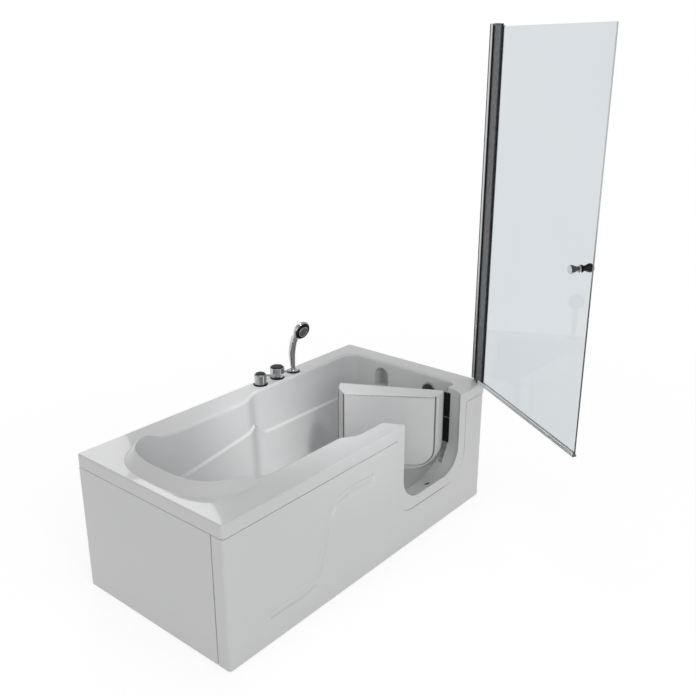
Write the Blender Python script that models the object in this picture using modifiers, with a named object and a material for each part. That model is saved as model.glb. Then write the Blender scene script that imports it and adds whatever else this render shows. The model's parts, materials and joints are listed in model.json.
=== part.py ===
"""A walk-in bathtub with an inward swinging door, deck taps and a pivoting glass screen.

Metres, +Z up. The origin is on the floor, under the middle of the tub. +X runs to the
screen end and +Y to the wall behind the tub. The door stands part open and the screen is
swung out, as at rest in use.
"""
import math

import bmesh
import bpy
from mathutils import Vector

# Fits and cuts
GAP = 0.0003
OVERRUN = 0.020
MERGE = 0.0001

# Tub body
TUB_LENGTH = 1.524
TUB_WIDTH = 0.762
RIM_HEIGHT = 0.550
LIP_HEIGHT = 0.050
LIP_WALL = 0.006
LIP_PROUD = 0.003
LIP_ROUND = 0.006
RIM_CORNER = 0.014
SHELL_WALL = 0.008

# Basin, seen from above
RIM_AT_FOOT = 0.090
RIM_AT_HEAD = 0.073
RIM_AT_DOOR = 0.092
RIM_AT_WALL = 0.082
WAIST_FROM_SIDE = 0.131
HEAD_END_DEPTH = 0.199
HEAD_END_POWER_SHARE = 2.7
JOG_FROM_DOORWAY = 0.255
JOG_TO_DOORWAY = 0.120
DOOR_JOG_TO_DOORWAY = 0.182
FOOT_CORNER_WALL = 0.060
FOOT_CORNER_DOOR = 0.035
BASIN_ROUND = 0.014

# Raised collar round the head end
COLLAR_RISE = 0.040
COLLAR_FOOT = 0.030
COLLAR_FOOT_AT_TIP = 0.011
COLLAR_LENGTH = 0.302
COLLAR_FULL_LENGTH = 0.196
COLLAR_LAND = 0.006

# Basin walls, armrest line and floor
ARMREST_STEP = 0.009
ARMREST_DRAFT = 0.006
ARMREST_EASE = 0.004
ARMREST_HEAD_FROM_END = 0.346
ARMREST_HEAD_DROP = 0.190
ARMREST_PEAK_FROM_DOORWAY = 0.177
ARMREST_PEAK_DROP = 0.131
ARMREST_FOOT_FROM_DOORWAY = 0.094
ARMREST_FOOT_DROP = 0.197
ARMREST_FADE = 0.090
LOWER_WALL_RISE = 0.110
LOWER_WALL_DRAFT = 0.022
HAUNCH_RISE = 0.045
HAUNCH_DRAFT = 0.036
COVE_RISE = 0.014
COVE_DRAFT = 0.062
FLOOR_Z = 0.090
FLOOR_DRAFT = 0.100
FLOOR_FALL = 0.008
RECLINE_LENGTH = 0.662
RECLINE_RUN = 0.260
RECLINE_TOP_DROP = 0.050

# Doorway, seen from the front
DOORWAY_WIDTH = 0.385
DOORWAY_TO_END = 0.195
DOORWAY_SILL_Z = 0.208
DOORWAY_CORNER = 0.105
DOORWAY_BAND = 0.050
BAND_CORNER = 0.116
BAND_DEPTH = 0.007
TUNNEL_DEPTH = 0.088
TUNNEL_RING_SHARES = (0.1, 0.3, 0.7, 1.0)
TUNNEL_FLARE = 0.043
TUNNEL_FLARE_HINGE = 0.038
TUNNEL_REACH = 0.122
LIP_END_SLOPE = 0.050
LIP_END_SET = 0.0005
BAND_FADE_FROM = 0.115
BAND_FADE_TO = 0.005

# Apron and end panel
PANEL_WALL = 0.006
PANEL_FLOOR_GAP = 0.003
APRON_RETURN = 0.058
APRON_CORNER = 0.012
GROOVE_WIDTH = 0.032
GROOVE_DEPTH = 0.0035
GROOVE_START_FROM_DOORWAY = 0.202
GROOVE_BEND_FROM_DOORWAY = 0.367
GROOVE_FALL_FROM_DOORWAY = 0.444
GROOVE_FOOT_FROM_DOORWAY = 0.500
GROOVE_TOE_FROM_DOORWAY = 0.557
GROOVE_END_FROM_DOORWAY = 0.744
GROOVE_START_UNDER_LIP = 0.095
GROOVE_FALL_UNDER_LIP = 0.155
GROOVE_FOOT_Z = 0.165
GROOVE_TOE_Z = 0.113

# Tub door
DOOR_OPEN_DEGREES = 55.5
DOOR_CLEARANCE = 0.003
DOOR_HINGE_FROM_DOORWAY = 0.024
DOOR_HINGE_FROM_FRONT = 0.112
DOOR_PANEL_EDGE = 0.004
DOOR_PANEL_SIDE = 0.003
DOOR_PANEL_SILL = 0.020
DOOR_PANEL_CORNER = 0.076
DOOR_LEDGE_DEPTH = 0.016
DOOR_SKIN_DEPTH = 0.058
DOOR_GASKET_THICK = 0.007
DOOR_GASKET_LIP = 0.0022
DOOR_GASKET_WIDTH = 0.018
DOOR_THICK_FREE = 0.125
DOOR_THICK_HINGE = 0.080
DOOR_BACK_ROUND = 0.014
BEAD_RADIUS = 0.003

# Tub door hinge
POCKET_DEPTH = 0.014
POCKET_SETBACK = 0.074
POCKET_FOOT_OVER_SILL = 0.082
POCKET_HEAD_DROP = 0.026
LEAF_THICK = 0.003
LEAF_FOOT_MARGIN = 0.010
LEAF_HEAD_MARGIN = 0.005
LEAF_PAST_PIN = 0.007
BARREL_RADIUS = 0.0085
PIN_RADIUS = 0.004
PIN_CLEARANCE = 0.0004
PIN_HEAD_RADIUS = 0.006
PIN_HEAD_THICK = 0.004
KNUCKLE_SHARES = (0.0, 0.34, 0.66, 1.0)
KNUCKLE_GAP = 0.001
DOOR_LEAF_WIDTH = 0.055
DOOR_LEAF_SETBACK = 0.016
COVER_THICK = 0.009
COVER_WIDTH = 0.034
COVER_FOOT_MARGIN = 0.018
COVER_LOWER_LENGTH = 0.087
COVER_RING = 0.006

# Tub door latch
LATCH_FROM_DOORWAY = 0.014
LATCH_DROP = 0.135
LATCH_BASE_RADIUS = 0.022
LATCH_BASE_THICK = 0.008
LATCH_BAR_THICK = 0.006
LATCH_BAR_WIDTH = 0.014
LATCH_BAR_REACH = 0.085
LATCH_BAR_TAIL = 0.020
LATCH_GRIP_RADIUS = 0.006
LATCH_GRIP_HEIGHT = 0.022
KEEPER_FROM_DOORWAY = 0.063
KEEPER_WIDTH = 0.012
KEEPER_THICK = 0.004
KEEPER_HEIGHT = 0.060
KEEPER_DROP = 0.006
KEEPER_LIP_HEIGHT = 0.026
KEEPER_CLEARANCE = 0.004

# Sill drain grommet
SILL_DRAIN_FROM_JAMB = 0.162
SILL_DRAIN_SETBACK = 0.043
SILL_DRAIN_BORE = 0.007
SILL_DRAIN_RADIUS = 0.0095
SILL_DRAIN_FLANGE = 0.0125
SILL_DRAIN_FLANGE_THICK = 0.0012

# Niche in the foot end wall
NICHE_FROM_WALL = 0.186
NICHE_WIDTH = 0.074
NICHE_DROP = 0.034
NICHE_HEIGHT = 0.091
NICHE_DEPTH = 0.062

# Drain and overflow
DRAIN_FROM_FOOT = 0.144
DRAIN_HOLE_RADIUS = 0.026
DRAIN_FLANGE_RADIUS = 0.036
DRAIN_FLANGE_THICK = 0.003
DRAIN_THROAT_RADIUS = 0.025
DRAIN_WALL = 0.0025
STOPPER_RADIUS = 0.0285
STOPPER_THICK = 0.004
STOPPER_STEM_RADIUS = 0.004
BOWL_RADIUS = 0.045
BOWL_FOOT_Z = 0.006
BOWL_WALL = 0.003
OVERFLOW_FROM_DOOR_SIDE = 0.137
OVERFLOW_DROP = 0.069
OVERFLOW_HOLE_RADIUS = 0.018
OVERFLOW_PLATE_RADIUS = 0.035
OVERFLOW_PLATE_THICK = 0.006
OVERFLOW_KNOB_RADIUS = 0.026
OVERFLOW_KNOB_THICK = 0.014
OVERFLOW_BODY_RADIUS = 0.026
OVERFLOW_BODY_DEPTH = 0.036
HOSE_RADIUS = 0.0135
WASTE_RADIUS = 0.020
WASTE_Z = 0.028
WASTE_END_FROM_SIDE = 0.021

# Deck fittings along the wall side
DECK_FITTING_FROM_SIDE = 0.041
VALVE_FLOW_FROM_FOOT = 0.645
VALVE_TEMP_FROM_FOOT = 0.543
SHOWER_FROM_FOOT = 0.443
DECK_HOLE_RADIUS = 0.0125
SHANK_RADIUS = 0.012
SHANK_LENGTH = 0.055
LOCKNUT_RADIUS = 0.020
LOCKNUT_THICK = 0.008
ESCUTCHEON_RADIUS = 0.032
ESCUTCHEON_THICK = 0.006
FLOW_BODY_RADIUS = 0.026
FLOW_BODY_HEIGHT = 0.026
FLOW_CAP_RADIUS = 0.0265
FLOW_CAP_HEIGHT = 0.016
FLOW_LEVER_REACH = 0.066
FLOW_LEVER_RADIUS = 0.0052
FLOW_LEVER_DEGREES = -50.0
TEMP_STEM_RADIUS = 0.0145
TEMP_STEM_HEIGHT = 0.030
TEMP_CAP_RADIUS = 0.032
TEMP_CAP_HEIGHT = 0.026
TEMP_CAP_TOP_RISE = 0.054
TEMP_SKIRT_WALL = 0.004
TEMP_TAB_REACH = 0.012
TEMP_TAB_DEGREES = -50.0
TOP_DISC_THICK = 0.004

# Hand shower
SOCKET_RADIUS = 0.016
SOCKET_HEIGHT = 0.006
SOCKET_BORE = 0.0102
HANDLE_FOOT_RADIUS = 0.0096
HANDLE_RADIUS = 0.0155
HANDLE_NECK_RADIUS = 0.0120
HANDLE_SINK = 0.010
HANDLE_BOW = 0.003
HANDLE_MID_RISE = 0.090
HANDLE_NECK_RISE = 0.150
HANDLE_NECK_LEAN = 0.016
HEAD_RISE = 0.201
HEAD_LEAN = 0.063
HEAD_RADIUS = 0.042
HEAD_DEPTH = 0.034
HEAD_TILT_DEGREES = 107.0
HEAD_TURN_DEGREES = -6.0
FACE_RING_RADIUS = 0.037
FACE_RING_BORE = 0.0235
FACE_RING_THICK = 0.005
SPRAY_DISC_RADIUS = 0.022
SPRAY_DISC_THICK = 0.007

# Support frame and feet
FRAME_TUBE = 0.030
FRAME_FOOT_Z = 0.050
FRAME_FROM_HEAD = 0.202
FRAME_FROM_FOOT = 0.027
FRAME_RAIL_FROM_SIDE = 0.176
FRAME_POST_FROM_SIDE = 0.036
FOOT_FROM_POST = 0.045
FOOT_PAD_RADIUS = 0.024
FOOT_PAD_THICK = 0.008
FOOT_ROD_RADIUS = 0.006
FOOT_NUT_RADIUS = 0.010
FOOT_NUT_THICK = 0.008

# Glass screen
SCREEN_SWING_DEGREES = 58.3
SCREEN_AXIS_FROM_FOOT = 0.032
SCREEN_AXIS_FROM_FRONT = 0.0175
SCREEN_HEIGHT = 1.444
CHANNEL_DEPTH = 0.020
CHANNEL_WIDTH = 0.036
CHANNEL_WALL = 0.0025
BRACKET_THICK = 0.008
BRACKET_PIN_RADIUS = 0.004
BRACKET_PIN_LENGTH = 0.016
PIVOT_RADIUS = 0.0105
CLAMP_REACH = 0.042
CLAMP_THICK = 0.018
CLAMP_SLOT_DEPTH = 0.014
GLASS_THICK = 0.006
GLASS_EDGE_REACH = 0.744
GASKET_WALL = 0.0015
GASKET_REACH = 0.005
RAIL_CLEARANCE = 0.002
RAIL_HEIGHT = 0.016
RAIL_WIDTH = 0.016
RAIL_FROM = 0.013
RAIL_SLOT_DEPTH = 0.009
RAIL_CAP = 0.004
KNOB_FROM_EDGE = 0.068
KNOB_OVER_RIM = 0.667
KNOB_RADIUS = 0.0155
KNOB_WAIST_RADIUS = 0.0095
KNOB_LENGTH = 0.040
KNOB_STUD_RADIUS = 0.004
KNOB_HOLE_RADIUS = 0.006

# Places worked out from the sizes above
HALF_LENGTH = TUB_LENGTH / 2
HALF_WIDTH = TUB_WIDTH / 2
FRONT_Y = -HALF_WIDTH
DECK_UNDER_Z = RIM_HEIGHT - SHELL_WALL
LIP_FOOT_Z = RIM_HEIGHT - LIP_HEIGHT
BASIN_FOOT_X = HALF_LENGTH - RIM_AT_FOOT
BASIN_HEAD_X = -HALF_LENGTH + RIM_AT_HEAD
BASIN_DOOR_Y = FRONT_Y + RIM_AT_DOOR
BASIN_WALL_Y = HALF_WIDTH - RIM_AT_WALL
HEAD_END_X = BASIN_HEAD_X + HEAD_END_DEPTH
DOORWAY_RIGHT_X = HALF_LENGTH - DOORWAY_TO_END
DOORWAY_LEFT_X = DOORWAY_RIGHT_X - DOORWAY_WIDTH
WAIST_HALF = HALF_WIDTH - WAIST_FROM_SIDE
JOG_FROM_X = DOORWAY_LEFT_X - JOG_FROM_DOORWAY
JOG_TO_X = DOORWAY_LEFT_X - JOG_TO_DOORWAY
DOOR_JOG_TO_X = DOORWAY_LEFT_X - DOOR_JOG_TO_DOORWAY
COLLAR_FROM_X = -HALF_LENGTH + COLLAR_LENGTH
COLLAR_FULL_X = -HALF_LENGTH + COLLAR_FULL_LENGTH
ARMREST_HEAD_X = -HALF_LENGTH + ARMREST_HEAD_FROM_END
ARMREST_HEAD_Z = RIM_HEIGHT - ARMREST_HEAD_DROP
ARMREST_PEAK_X = DOORWAY_LEFT_X - ARMREST_PEAK_FROM_DOORWAY
ARMREST_PEAK_Z = RIM_HEIGHT - ARMREST_PEAK_DROP
ARMREST_FOOT_X = DOORWAY_LEFT_X - ARMREST_FOOT_FROM_DOORWAY
ARMREST_FOOT_Z = RIM_HEIGHT - ARMREST_FOOT_DROP
LOWER_WALL_Z = FLOOR_Z + LOWER_WALL_RISE
HAUNCH_Z = FLOOR_Z + HAUNCH_RISE
COVE_Z = FLOOR_Z + COVE_RISE
RECLINE_FROM_X = -HALF_LENGTH + RECLINE_LENGTH
RECLINE_TOP_Z = RIM_HEIGHT - RECLINE_TOP_DROP
DOOR_HINGE_X = DOORWAY_RIGHT_X + DOOR_HINGE_FROM_DOORWAY
DOOR_HINGE_Y = FRONT_Y + DOOR_HINGE_FROM_FRONT
POCKET_FOOT_Z = DOORWAY_SILL_Z + POCKET_FOOT_OVER_SILL
POCKET_HEAD_Z = RIM_HEIGHT - POCKET_HEAD_DROP
LEAF_FOOT_Z = POCKET_FOOT_Z + LEAF_FOOT_MARGIN
LEAF_HEAD_Z = POCKET_HEAD_Z - LEAF_HEAD_MARGIN
LEAF_INNER_Y = DOOR_HINGE_Y + LEAF_PAST_PIN
COVER_FOOT_Z = LEAF_FOOT_Z + COVER_FOOT_MARGIN
COVER_SPLIT_Z = COVER_FOOT_Z + COVER_LOWER_LENGTH
LATCH_X = DOORWAY_LEFT_X + LATCH_FROM_DOORWAY
LATCH_Z = RIM_HEIGHT - LATCH_DROP
KEEPER_X = DOORWAY_LEFT_X - KEEPER_FROM_DOORWAY
SILL_DRAIN_X = DOORWAY_RIGHT_X - SILL_DRAIN_FROM_JAMB
NICHE_Y = BASIN_WALL_Y - NICHE_FROM_WALL
NICHE_TOP_Z = RIM_HEIGHT - NICHE_DROP
NICHE_FOOT_Z = NICHE_TOP_Z - NICHE_HEIGHT
DRAIN_X = BASIN_FOOT_X - DRAIN_FROM_FOOT
OVERFLOW_Y = BASIN_DOOR_Y + OVERFLOW_FROM_DOOR_SIDE
OVERFLOW_Z = RIM_HEIGHT - OVERFLOW_DROP
WASTE_END_Y = HALF_WIDTH - WASTE_END_FROM_SIDE
DECK_FITTING_Y = HALF_WIDTH - DECK_FITTING_FROM_SIDE
VALVE_FLOW_X = HALF_LENGTH - VALVE_FLOW_FROM_FOOT
VALVE_TEMP_X = HALF_LENGTH - VALVE_TEMP_FROM_FOOT
SHOWER_X = HALF_LENGTH - SHOWER_FROM_FOOT
FRAME_HEAD_X = -HALF_LENGTH + FRAME_FROM_HEAD
FRAME_FOOT_X = HALF_LENGTH - FRAME_FROM_FOOT
FRAME_RAIL_Y = HALF_WIDTH - FRAME_RAIL_FROM_SIDE
FRAME_POST_Y = HALF_WIDTH - FRAME_POST_FROM_SIDE
FOOT_SPREAD_Y = FRAME_POST_Y - FOOT_FROM_POST
SCREEN_AXIS_X = HALF_LENGTH - SCREEN_AXIS_FROM_FOOT
SCREEN_AXIS_Y = FRONT_Y + SCREEN_AXIS_FROM_FRONT
SCREEN_TOP_Z = RIM_HEIGHT + SCREEN_HEIGHT
KNOB_Z = RIM_HEIGHT + KNOB_OVER_RIM

PARTS = "walk_in_bathtub"
CUTTERS = "cutters"


def clear_scene():
    for old in list(bpy.data.objects):
        bpy.data.objects.remove(old, do_unlink=True)
    for name in (PARTS, CUTTERS):
        bpy.context.scene.collection.children.link(bpy.data.collections.new(name))


def finish_of(name, colour, roughness, metallic=0.0):
    """A plain Principled material"""
    made = bpy.data.materials.new(name)
    made.use_nodes = True
    shader = made.node_tree.nodes["Principled BSDF"]
    shader.inputs["Base Color"].default_value = (*colour, 1)
    shader.inputs["Roughness"].default_value = roughness
    shader.inputs["Metallic"].default_value = metallic
    return made


WHITE = dict(colour=(0.80, 0.80, 0.80), roughness=0.12)
CHROME = dict(colour=(0.78, 0.78, 0.79), roughness=0.08, metallic=1.0)
STEEL = dict(colour=(0.55, 0.55, 0.55), roughness=0.35, metallic=1.0)
BLACK = dict(colour=(0.015, 0.015, 0.015), roughness=0.40)
RUBBER = dict(colour=(0.03, 0.03, 0.03), roughness=0.75)
PLASTIC = dict(colour=(0.22, 0.23, 0.25), roughness=0.50)
GLASS = dict(colour=(0.80, 0.86, 0.89), roughness=0.05)


def add_object(name, mesh, finish=None):
    """Link a mesh as a visible part, or as a cutter where it has no finish"""
    made = bpy.data.objects.new(name, mesh)
    if finish is None:
        bpy.data.collections[CUTTERS].objects.link(made)
        made.hide_render = True
        made.display_type = "WIRE"
    else:
        bpy.data.collections[PARTS].objects.link(made)
        mesh.materials.append(finish_of(name, **finish))
    return made


def add_bmesh(name, bm, finish=None):
    """Turn a bmesh into an object, its curved faces shaded smooth"""
    mesh = bpy.data.meshes.new(name)
    bm.to_mesh(mesh)
    bm.free()
    mesh.shade_smooth()
    mesh.set_sharp_from_angle(angle=math.radians(32))
    return add_object(name, mesh, finish)


def pivot(name, place, turn=(0, 0, 0), parent=None):
    """An empty on a joint's axis"""
    made = bpy.data.objects.new(name, None)
    made.location = place
    made.rotation_euler = turn
    made.parent = parent
    bpy.data.collections[PARTS].objects.link(made)
    return made


def hang(part, holder):
    """Parent a part that is drawn in the tub's own frame to a pivot in the same frame"""
    part.parent = holder
    part.location = Vector(part.location) - Vector(holder.location)


def combine(target, other, operation="DIFFERENCE"):
    """Cut another object from the target, or join it to the target"""
    step = target.modifiers.new(other.name, "BOOLEAN")
    step.operation = operation
    step.solver = "EXACT"
    step.object = other


def soften(target, width, segments=2):
    """Round the sharp edges of a part"""
    step = target.modifiers.new("rounded edges", "BEVEL")
    step.width = width
    step.segments = segments
    step.limit_method = "ANGLE"
    step.angle_limit = math.radians(40)
    step.use_clamp_overlap = True


def box(name, low, high, finish=None):
    """A block between two opposite corners"""
    bm = bmesh.new()
    bmesh.ops.create_cube(bm, size=1)
    size = [b - a for a, b in zip(low, high)]
    bmesh.ops.scale(bm, vec=size, verts=bm.verts)
    bmesh.ops.translate(bm, vec=[(a + b) / 2 for a, b in zip(low, high)], verts=bm.verts)
    return add_bmesh(name, bm, finish)


def rod(name, radius, low, high, finish=None, sides=24):
    """A cylinder along the line between two points"""
    axis = Vector(high) - Vector(low)
    bm = bmesh.new()
    size = dict(radius1=radius, radius2=radius, depth=axis.length)
    bmesh.ops.create_cone(bm, cap_ends=True, segments=sides, **size)
    bmesh.ops.rotate(bm, matrix=axis.to_track_quat("Z", "Y").to_matrix(), verts=bm.verts)
    bmesh.ops.translate(bm, vec=(Vector(low) + Vector(high)) / 2, verts=bm.verts)
    return add_bmesh(name, bm, finish)


def loft(name, rings, finish=None):
    """A solid through rings of equally many points, with a flat cap at each end"""
    bm = bmesh.new()
    loops = [[bm.verts.new(point) for point in ring] for ring in rings]
    count = len(loops[0])
    for near, far in zip(loops, loops[1:]):
        for i in range(count):
            j = (i + 1) % count
            bm.faces.new((near[i], near[j], far[j], far[i]))
    bm.faces.new(list(reversed(loops[0])))
    bm.faces.new(loops[-1])
    bmesh.ops.remove_doubles(bm, verts=bm.verts, dist=MERGE / 10)
    bmesh.ops.recalc_face_normals(bm, faces=bm.faces)
    return add_bmesh(name, bm, finish)


def prism(name, outline, low, high, finish=None):
    """A plan outline drawn up between two heights"""
    return loft(name, [[(x, y, z) for x, y in outline] for z in (low, high)], finish)


def turned(name, profile, finish=None, place=(0, 0, 0), turn=(0, 0, 0), steps=28, ring=False):
    """A solid turned about its own Z axis from a profile of radii and heights

    The profile runs down the outer side from top to bottom. A ring's profile closes on
    itself, and any other starts and ends on the axis.
    """
    mesh = bpy.data.meshes.new(name)
    edges = [(i, i + 1) for i in range(len(profile) - 1)]
    if ring:
        edges.append((len(profile) - 1, 0))
    mesh.from_pydata([(radius, 0, height) for radius, height in profile], edges, [])
    made = add_object(name, mesh, finish)
    made.location = place
    made.rotation_euler = turn
    step = made.modifiers.new("turned", "SCREW")
    step.steps = steps
    step.render_steps = steps
    step.use_merge_vertices = True
    step.merge_threshold = MERGE / 10
    step.use_smooth_shade = True
    return made


def bent_rod(name, route, radii, finish=None, fine=3):
    """A round bar along a smooth route, thicker or thinner from point to point"""
    curve = bpy.data.curves.new(name, "CURVE")
    curve.dimensions = "3D"
    curve.bevel_depth = 1
    curve.bevel_resolution = fine
    curve.use_fill_caps = True
    line = curve.splines.new("POLY")
    line.points.add(len(route) - 1)
    for point, place, radius in zip(line.points, route, radii):
        point.co = (*place, 1)
        point.radius = radius
    drawn = bpy.data.objects.new(name + " line", curve)
    bpy.context.scene.collection.objects.link(drawn)
    mesh = bpy.data.meshes.new_from_object(drawn.evaluated_get(bpy.context.evaluated_depsgraph_get()))
    bpy.data.objects.remove(drawn, do_unlink=True)
    bm = bmesh.new()
    bm.from_mesh(mesh)
    bmesh.ops.remove_doubles(bm, verts=bm.verts, dist=MERGE)
    bmesh.ops.recalc_face_normals(bm, faces=bm.faces)
    return add_bmesh(name, bm, finish)


def mix(start, end, share):
    return start + (end - start) * share


def ease(share):
    """A share from 0 to 1 that starts and ends gently"""
    share = min(max(share, 0.0), 1.0)
    return share * share * (3 - 2 * share)


def spread(start, end, count):
    """Evenly spaced values from start up to, but not including, end"""
    return [mix(start, end, i / count) for i in range(count)]


def arc(centre, radius, from_degrees, to_degrees, count, whole=False):
    """Points of an arc, its last one only where the whole arc is asked for"""
    angles = spread(math.radians(from_degrees), math.radians(to_degrees), count)
    if whole:
        angles.append(math.radians(to_degrees))
    return [(centre[0] + radius * math.cos(a), centre[1] + radius * math.sin(a)) for a in angles]


def smooth_route(points, count):
    """Points of a smooth curve through the given ones"""
    points = [Vector(p) for p in points]
    ends = [points[0] * 2 - points[1]] + points + [points[-1] * 2 - points[-2]]
    route = []
    for a, b, c, d in zip(ends, ends[1:], ends[2:], ends[3:]):
        for t in spread(0, 1, count):
            bend = (2 * a - 5 * b + 4 * c - d) * t**2
            twist = (3 * b - a - 3 * c + d) * t**3
            route.append((2 * b + (c - a) * t + bend + twist) / 2)
    return route + [points[-1]]


END_COUNT = 3
CORNER_COUNT = 6
HEAD_SIDE_COUNT = 8
HEAD_CORNER_COUNT = 4
HEAD_FACE_COUNT = 8
HEAD_COUNT = 2 * HEAD_SIDE_COUNT + 2 * HEAD_CORNER_COUNT + HEAD_FACE_COUNT


def side_stations(foot_x):
    """Places along a long side where the ring has points, from the foot end to the head"""
    foot_run = spread(foot_x, ARMREST_FOOT_X + ARMREST_STEP, 5)
    middle = spread(ARMREST_FOOT_X + ARMREST_STEP, JOG_FROM_X, 11)
    head_run = spread(JOG_FROM_X, HEAD_END_X, 6)
    return foot_run + middle + head_run


def half_width(x, full, jog_to):
    """How far the basin reaches from the middle at a station of one long side"""
    return mix(WAIST_HALF, full, ease((x - JOG_FROM_X) / (jog_to - JOG_FROM_X)))


def basin_plan(inset, waist_inset=None):
    """The basin's outline seen from above, drawn in by inset, anticlockwise from the foot end"""
    if waist_inset is None:
        waist_inset = inset
    foot = BASIN_FOOT_X - inset
    wall_corner = FOOT_CORNER_WALL + max(-inset, 0)
    door_corner = FOOT_CORNER_DOOR + max(-inset, 0) + max(inset, 0) / 2
    wall = BASIN_WALL_Y - inset
    door = BASIN_DOOR_Y + inset
    plan = [(foot, y) for y in spread(0, wall - wall_corner, END_COUNT)]
    plan += arc((foot - wall_corner, wall - wall_corner), wall_corner, 0, 90, CORNER_COUNT)
    for x in side_stations(foot - wall_corner):
        plan.append((x, half_width(x, BASIN_WALL_Y, JOG_TO_X) - inset))
    depth = HEAD_END_DEPTH - inset
    for angle in spread(0, math.pi, HEAD_COUNT):
        side = math.copysign(abs(math.cos(angle)) ** (2 / HEAD_END_POWER_SHARE), math.cos(angle))
        out = abs(math.sin(angle)) ** (2 / HEAD_END_POWER_SHARE)
        plan.append((HEAD_END_X - depth * out, (WAIST_HALF - waist_inset) * side))
    for x in reversed(side_stations(foot - door_corner) + [HEAD_END_X]):
        plan.append((x, -half_width(x, -BASIN_DOOR_Y, DOOR_JOG_TO_X) + inset))
    plan.pop()
    plan += arc((foot - door_corner, door + door_corner), door_corner, -90, 0, CORNER_COUNT)
    plan += [(foot, y) for y in spread(door + door_corner, 0, END_COUNT)]
    return plan


def rim_plan(inset):
    """The rim's rectangle with as many points as the basin's outline, in the same order"""
    corner = RIM_CORNER - min(inset, RIM_CORNER / 2)
    foot = HALF_LENGTH - inset
    head = -HALF_LENGTH + inset
    side = HALF_WIDTH - inset
    plan = [(foot, y) for y in spread(0, side - corner, END_COUNT)]
    plan += arc((foot - corner, side - corner), corner, 0, 90, CORNER_COUNT)
    plan += [(x, side) for x in side_stations(foot - corner)]
    plan += [(x, side) for x in spread(HEAD_END_X, head + corner, HEAD_SIDE_COUNT)]
    plan += arc((head + corner, side - corner), corner, 90, 180, HEAD_CORNER_COUNT)
    plan += [(head, y) for y in spread(side - corner, corner - side, HEAD_FACE_COUNT)]
    plan += arc((head + corner, corner - side), corner, 180, 270, HEAD_CORNER_COUNT)
    plan += [(x, -side) for x in spread(head + corner, HEAD_END_X, HEAD_SIDE_COUNT)]
    plan += [(x, -side) for x in reversed(side_stations(foot - corner) + [HEAD_END_X])][:-1]
    plan += arc((foot - corner, corner - side), corner, -90, 0, CORNER_COUNT)
    plan += [(foot, y) for y in spread(corner - side, 0, END_COUNT)]
    return plan


def armrest_height(x):
    """Height of the armrest line along the basin"""
    if x > ARMREST_FOOT_X:
        return ARMREST_FOOT_Z
    if x > ARMREST_PEAK_X:
        share = (x - ARMREST_PEAK_X) / (ARMREST_FOOT_X - ARMREST_PEAK_X)
        return mix(ARMREST_PEAK_Z, ARMREST_FOOT_Z, share)
    share = (x - ARMREST_HEAD_X) / (ARMREST_PEAK_X - ARMREST_HEAD_X)
    return mix(ARMREST_HEAD_Z, ARMREST_PEAK_Z, max(share, 0.0))


def recline(x, z):
    """The head end wall leans in towards the floor"""
    lean = RECLINE_RUN * (max(RECLINE_TOP_Z - z, 0.0) / (RECLINE_TOP_Z - FLOOR_Z)) ** 1.3
    share = max(RECLINE_FROM_X - x, 0.0) / (RECLINE_FROM_X - BASIN_HEAD_X)
    return x + lean * share


def floor_height(x):
    """The floor falls gently to the drain"""
    return FLOOR_Z + FLOOR_FALL * (DRAIN_X - x) / TUB_LENGTH


def wall_ring(inset, height):
    """A ring of the basin's wall at a height that may change along it"""
    ring = []
    for x, y in basin_plan(inset):
        z = height(x)
        ring.append((recline(x, z), y, z))
    return ring


def wall_rings(outward=0.0):
    """The basin's inner wall from the armrest line to the floor, or one set outward from it"""

    def above(x):
        return armrest_height(x) + ARMREST_EASE

    def below(x):
        return armrest_height(x) - ARMREST_EASE * ease((x - ARMREST_HEAD_X) / ARMREST_FADE + 1)

    stepped = ARMREST_DRAFT + ARMREST_STEP
    return [
        wall_ring(ARMREST_DRAFT - outward, above),
        wall_ring(stepped - outward, below),
        wall_ring(LOWER_WALL_DRAFT - outward, lambda x: LOWER_WALL_Z),
        wall_ring(HAUNCH_DRAFT - outward, lambda x: HAUNCH_Z - outward / 2),
        wall_ring(COVE_DRAFT - outward * 0.7, lambda x: COVE_Z - outward * 0.8),
        wall_ring(FLOOR_DRAFT, lambda x: floor_height(x) - outward),
    ]


def collar_share(x):
    """0 on the plain deck, 1 where the collar stands at its full height"""
    return ease((COLLAR_FROM_X - x) / (COLLAR_FROM_X - COLLAR_FULL_X))


def edge_ring(plain_out, plain_drop, raised_plan, raised_rise):
    """A ring along the basin's edge, between the plain round-over and the raised collar"""
    ring = []
    for (x, y), plain, raised in zip(basin_plan(0.0), basin_plan(-plain_out), raised_plan):
        share = collar_share(x)
        z = RIM_HEIGHT + mix(-plain_drop, raised_rise, share)
        ring.append((mix(plain[0], raised[0], share), mix(plain[1], raised[1], share), z))
    return ring


def collar_foot(inset):
    """Where the collar's outer slope meets the deck"""
    return basin_plan(inset - COLLAR_FOOT - COLLAR_FOOT_AT_TIP, inset - COLLAR_FOOT)


def edge_rings():
    """The basin's edge from its wall up over the round-over or the collar to the deck"""
    land = COLLAR_LAND
    return [
        edge_ring(0.0, BASIN_ROUND, basin_plan(0.0), COLLAR_RISE - land / 2),
        edge_ring(BASIN_ROUND / 6, BASIN_ROUND * 0.45, basin_plan(-land / 4), COLLAR_RISE),
        edge_ring(BASIN_ROUND / 2, BASIN_ROUND * 0.13, basin_plan(-land), COLLAR_RISE - land / 3),
        edge_ring(BASIN_ROUND, 0.0, collar_foot(0.0), 0.0),
    ]


def edge_under_rings():
    """The underside of the basin's edge, from the deck to the basin's outer wall"""
    return [
        edge_ring(BASIN_ROUND, SHELL_WALL, collar_foot(SHELL_WALL / 2), -SHELL_WALL),
        edge_ring(SHELL_WALL, 2 * SHELL_WALL, basin_plan(-SHELL_WALL), COLLAR_RISE - 2 * SHELL_WALL),
    ]


def flat_ring(plan, z):
    return [(x, y, z) for x, y in plan]


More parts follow.
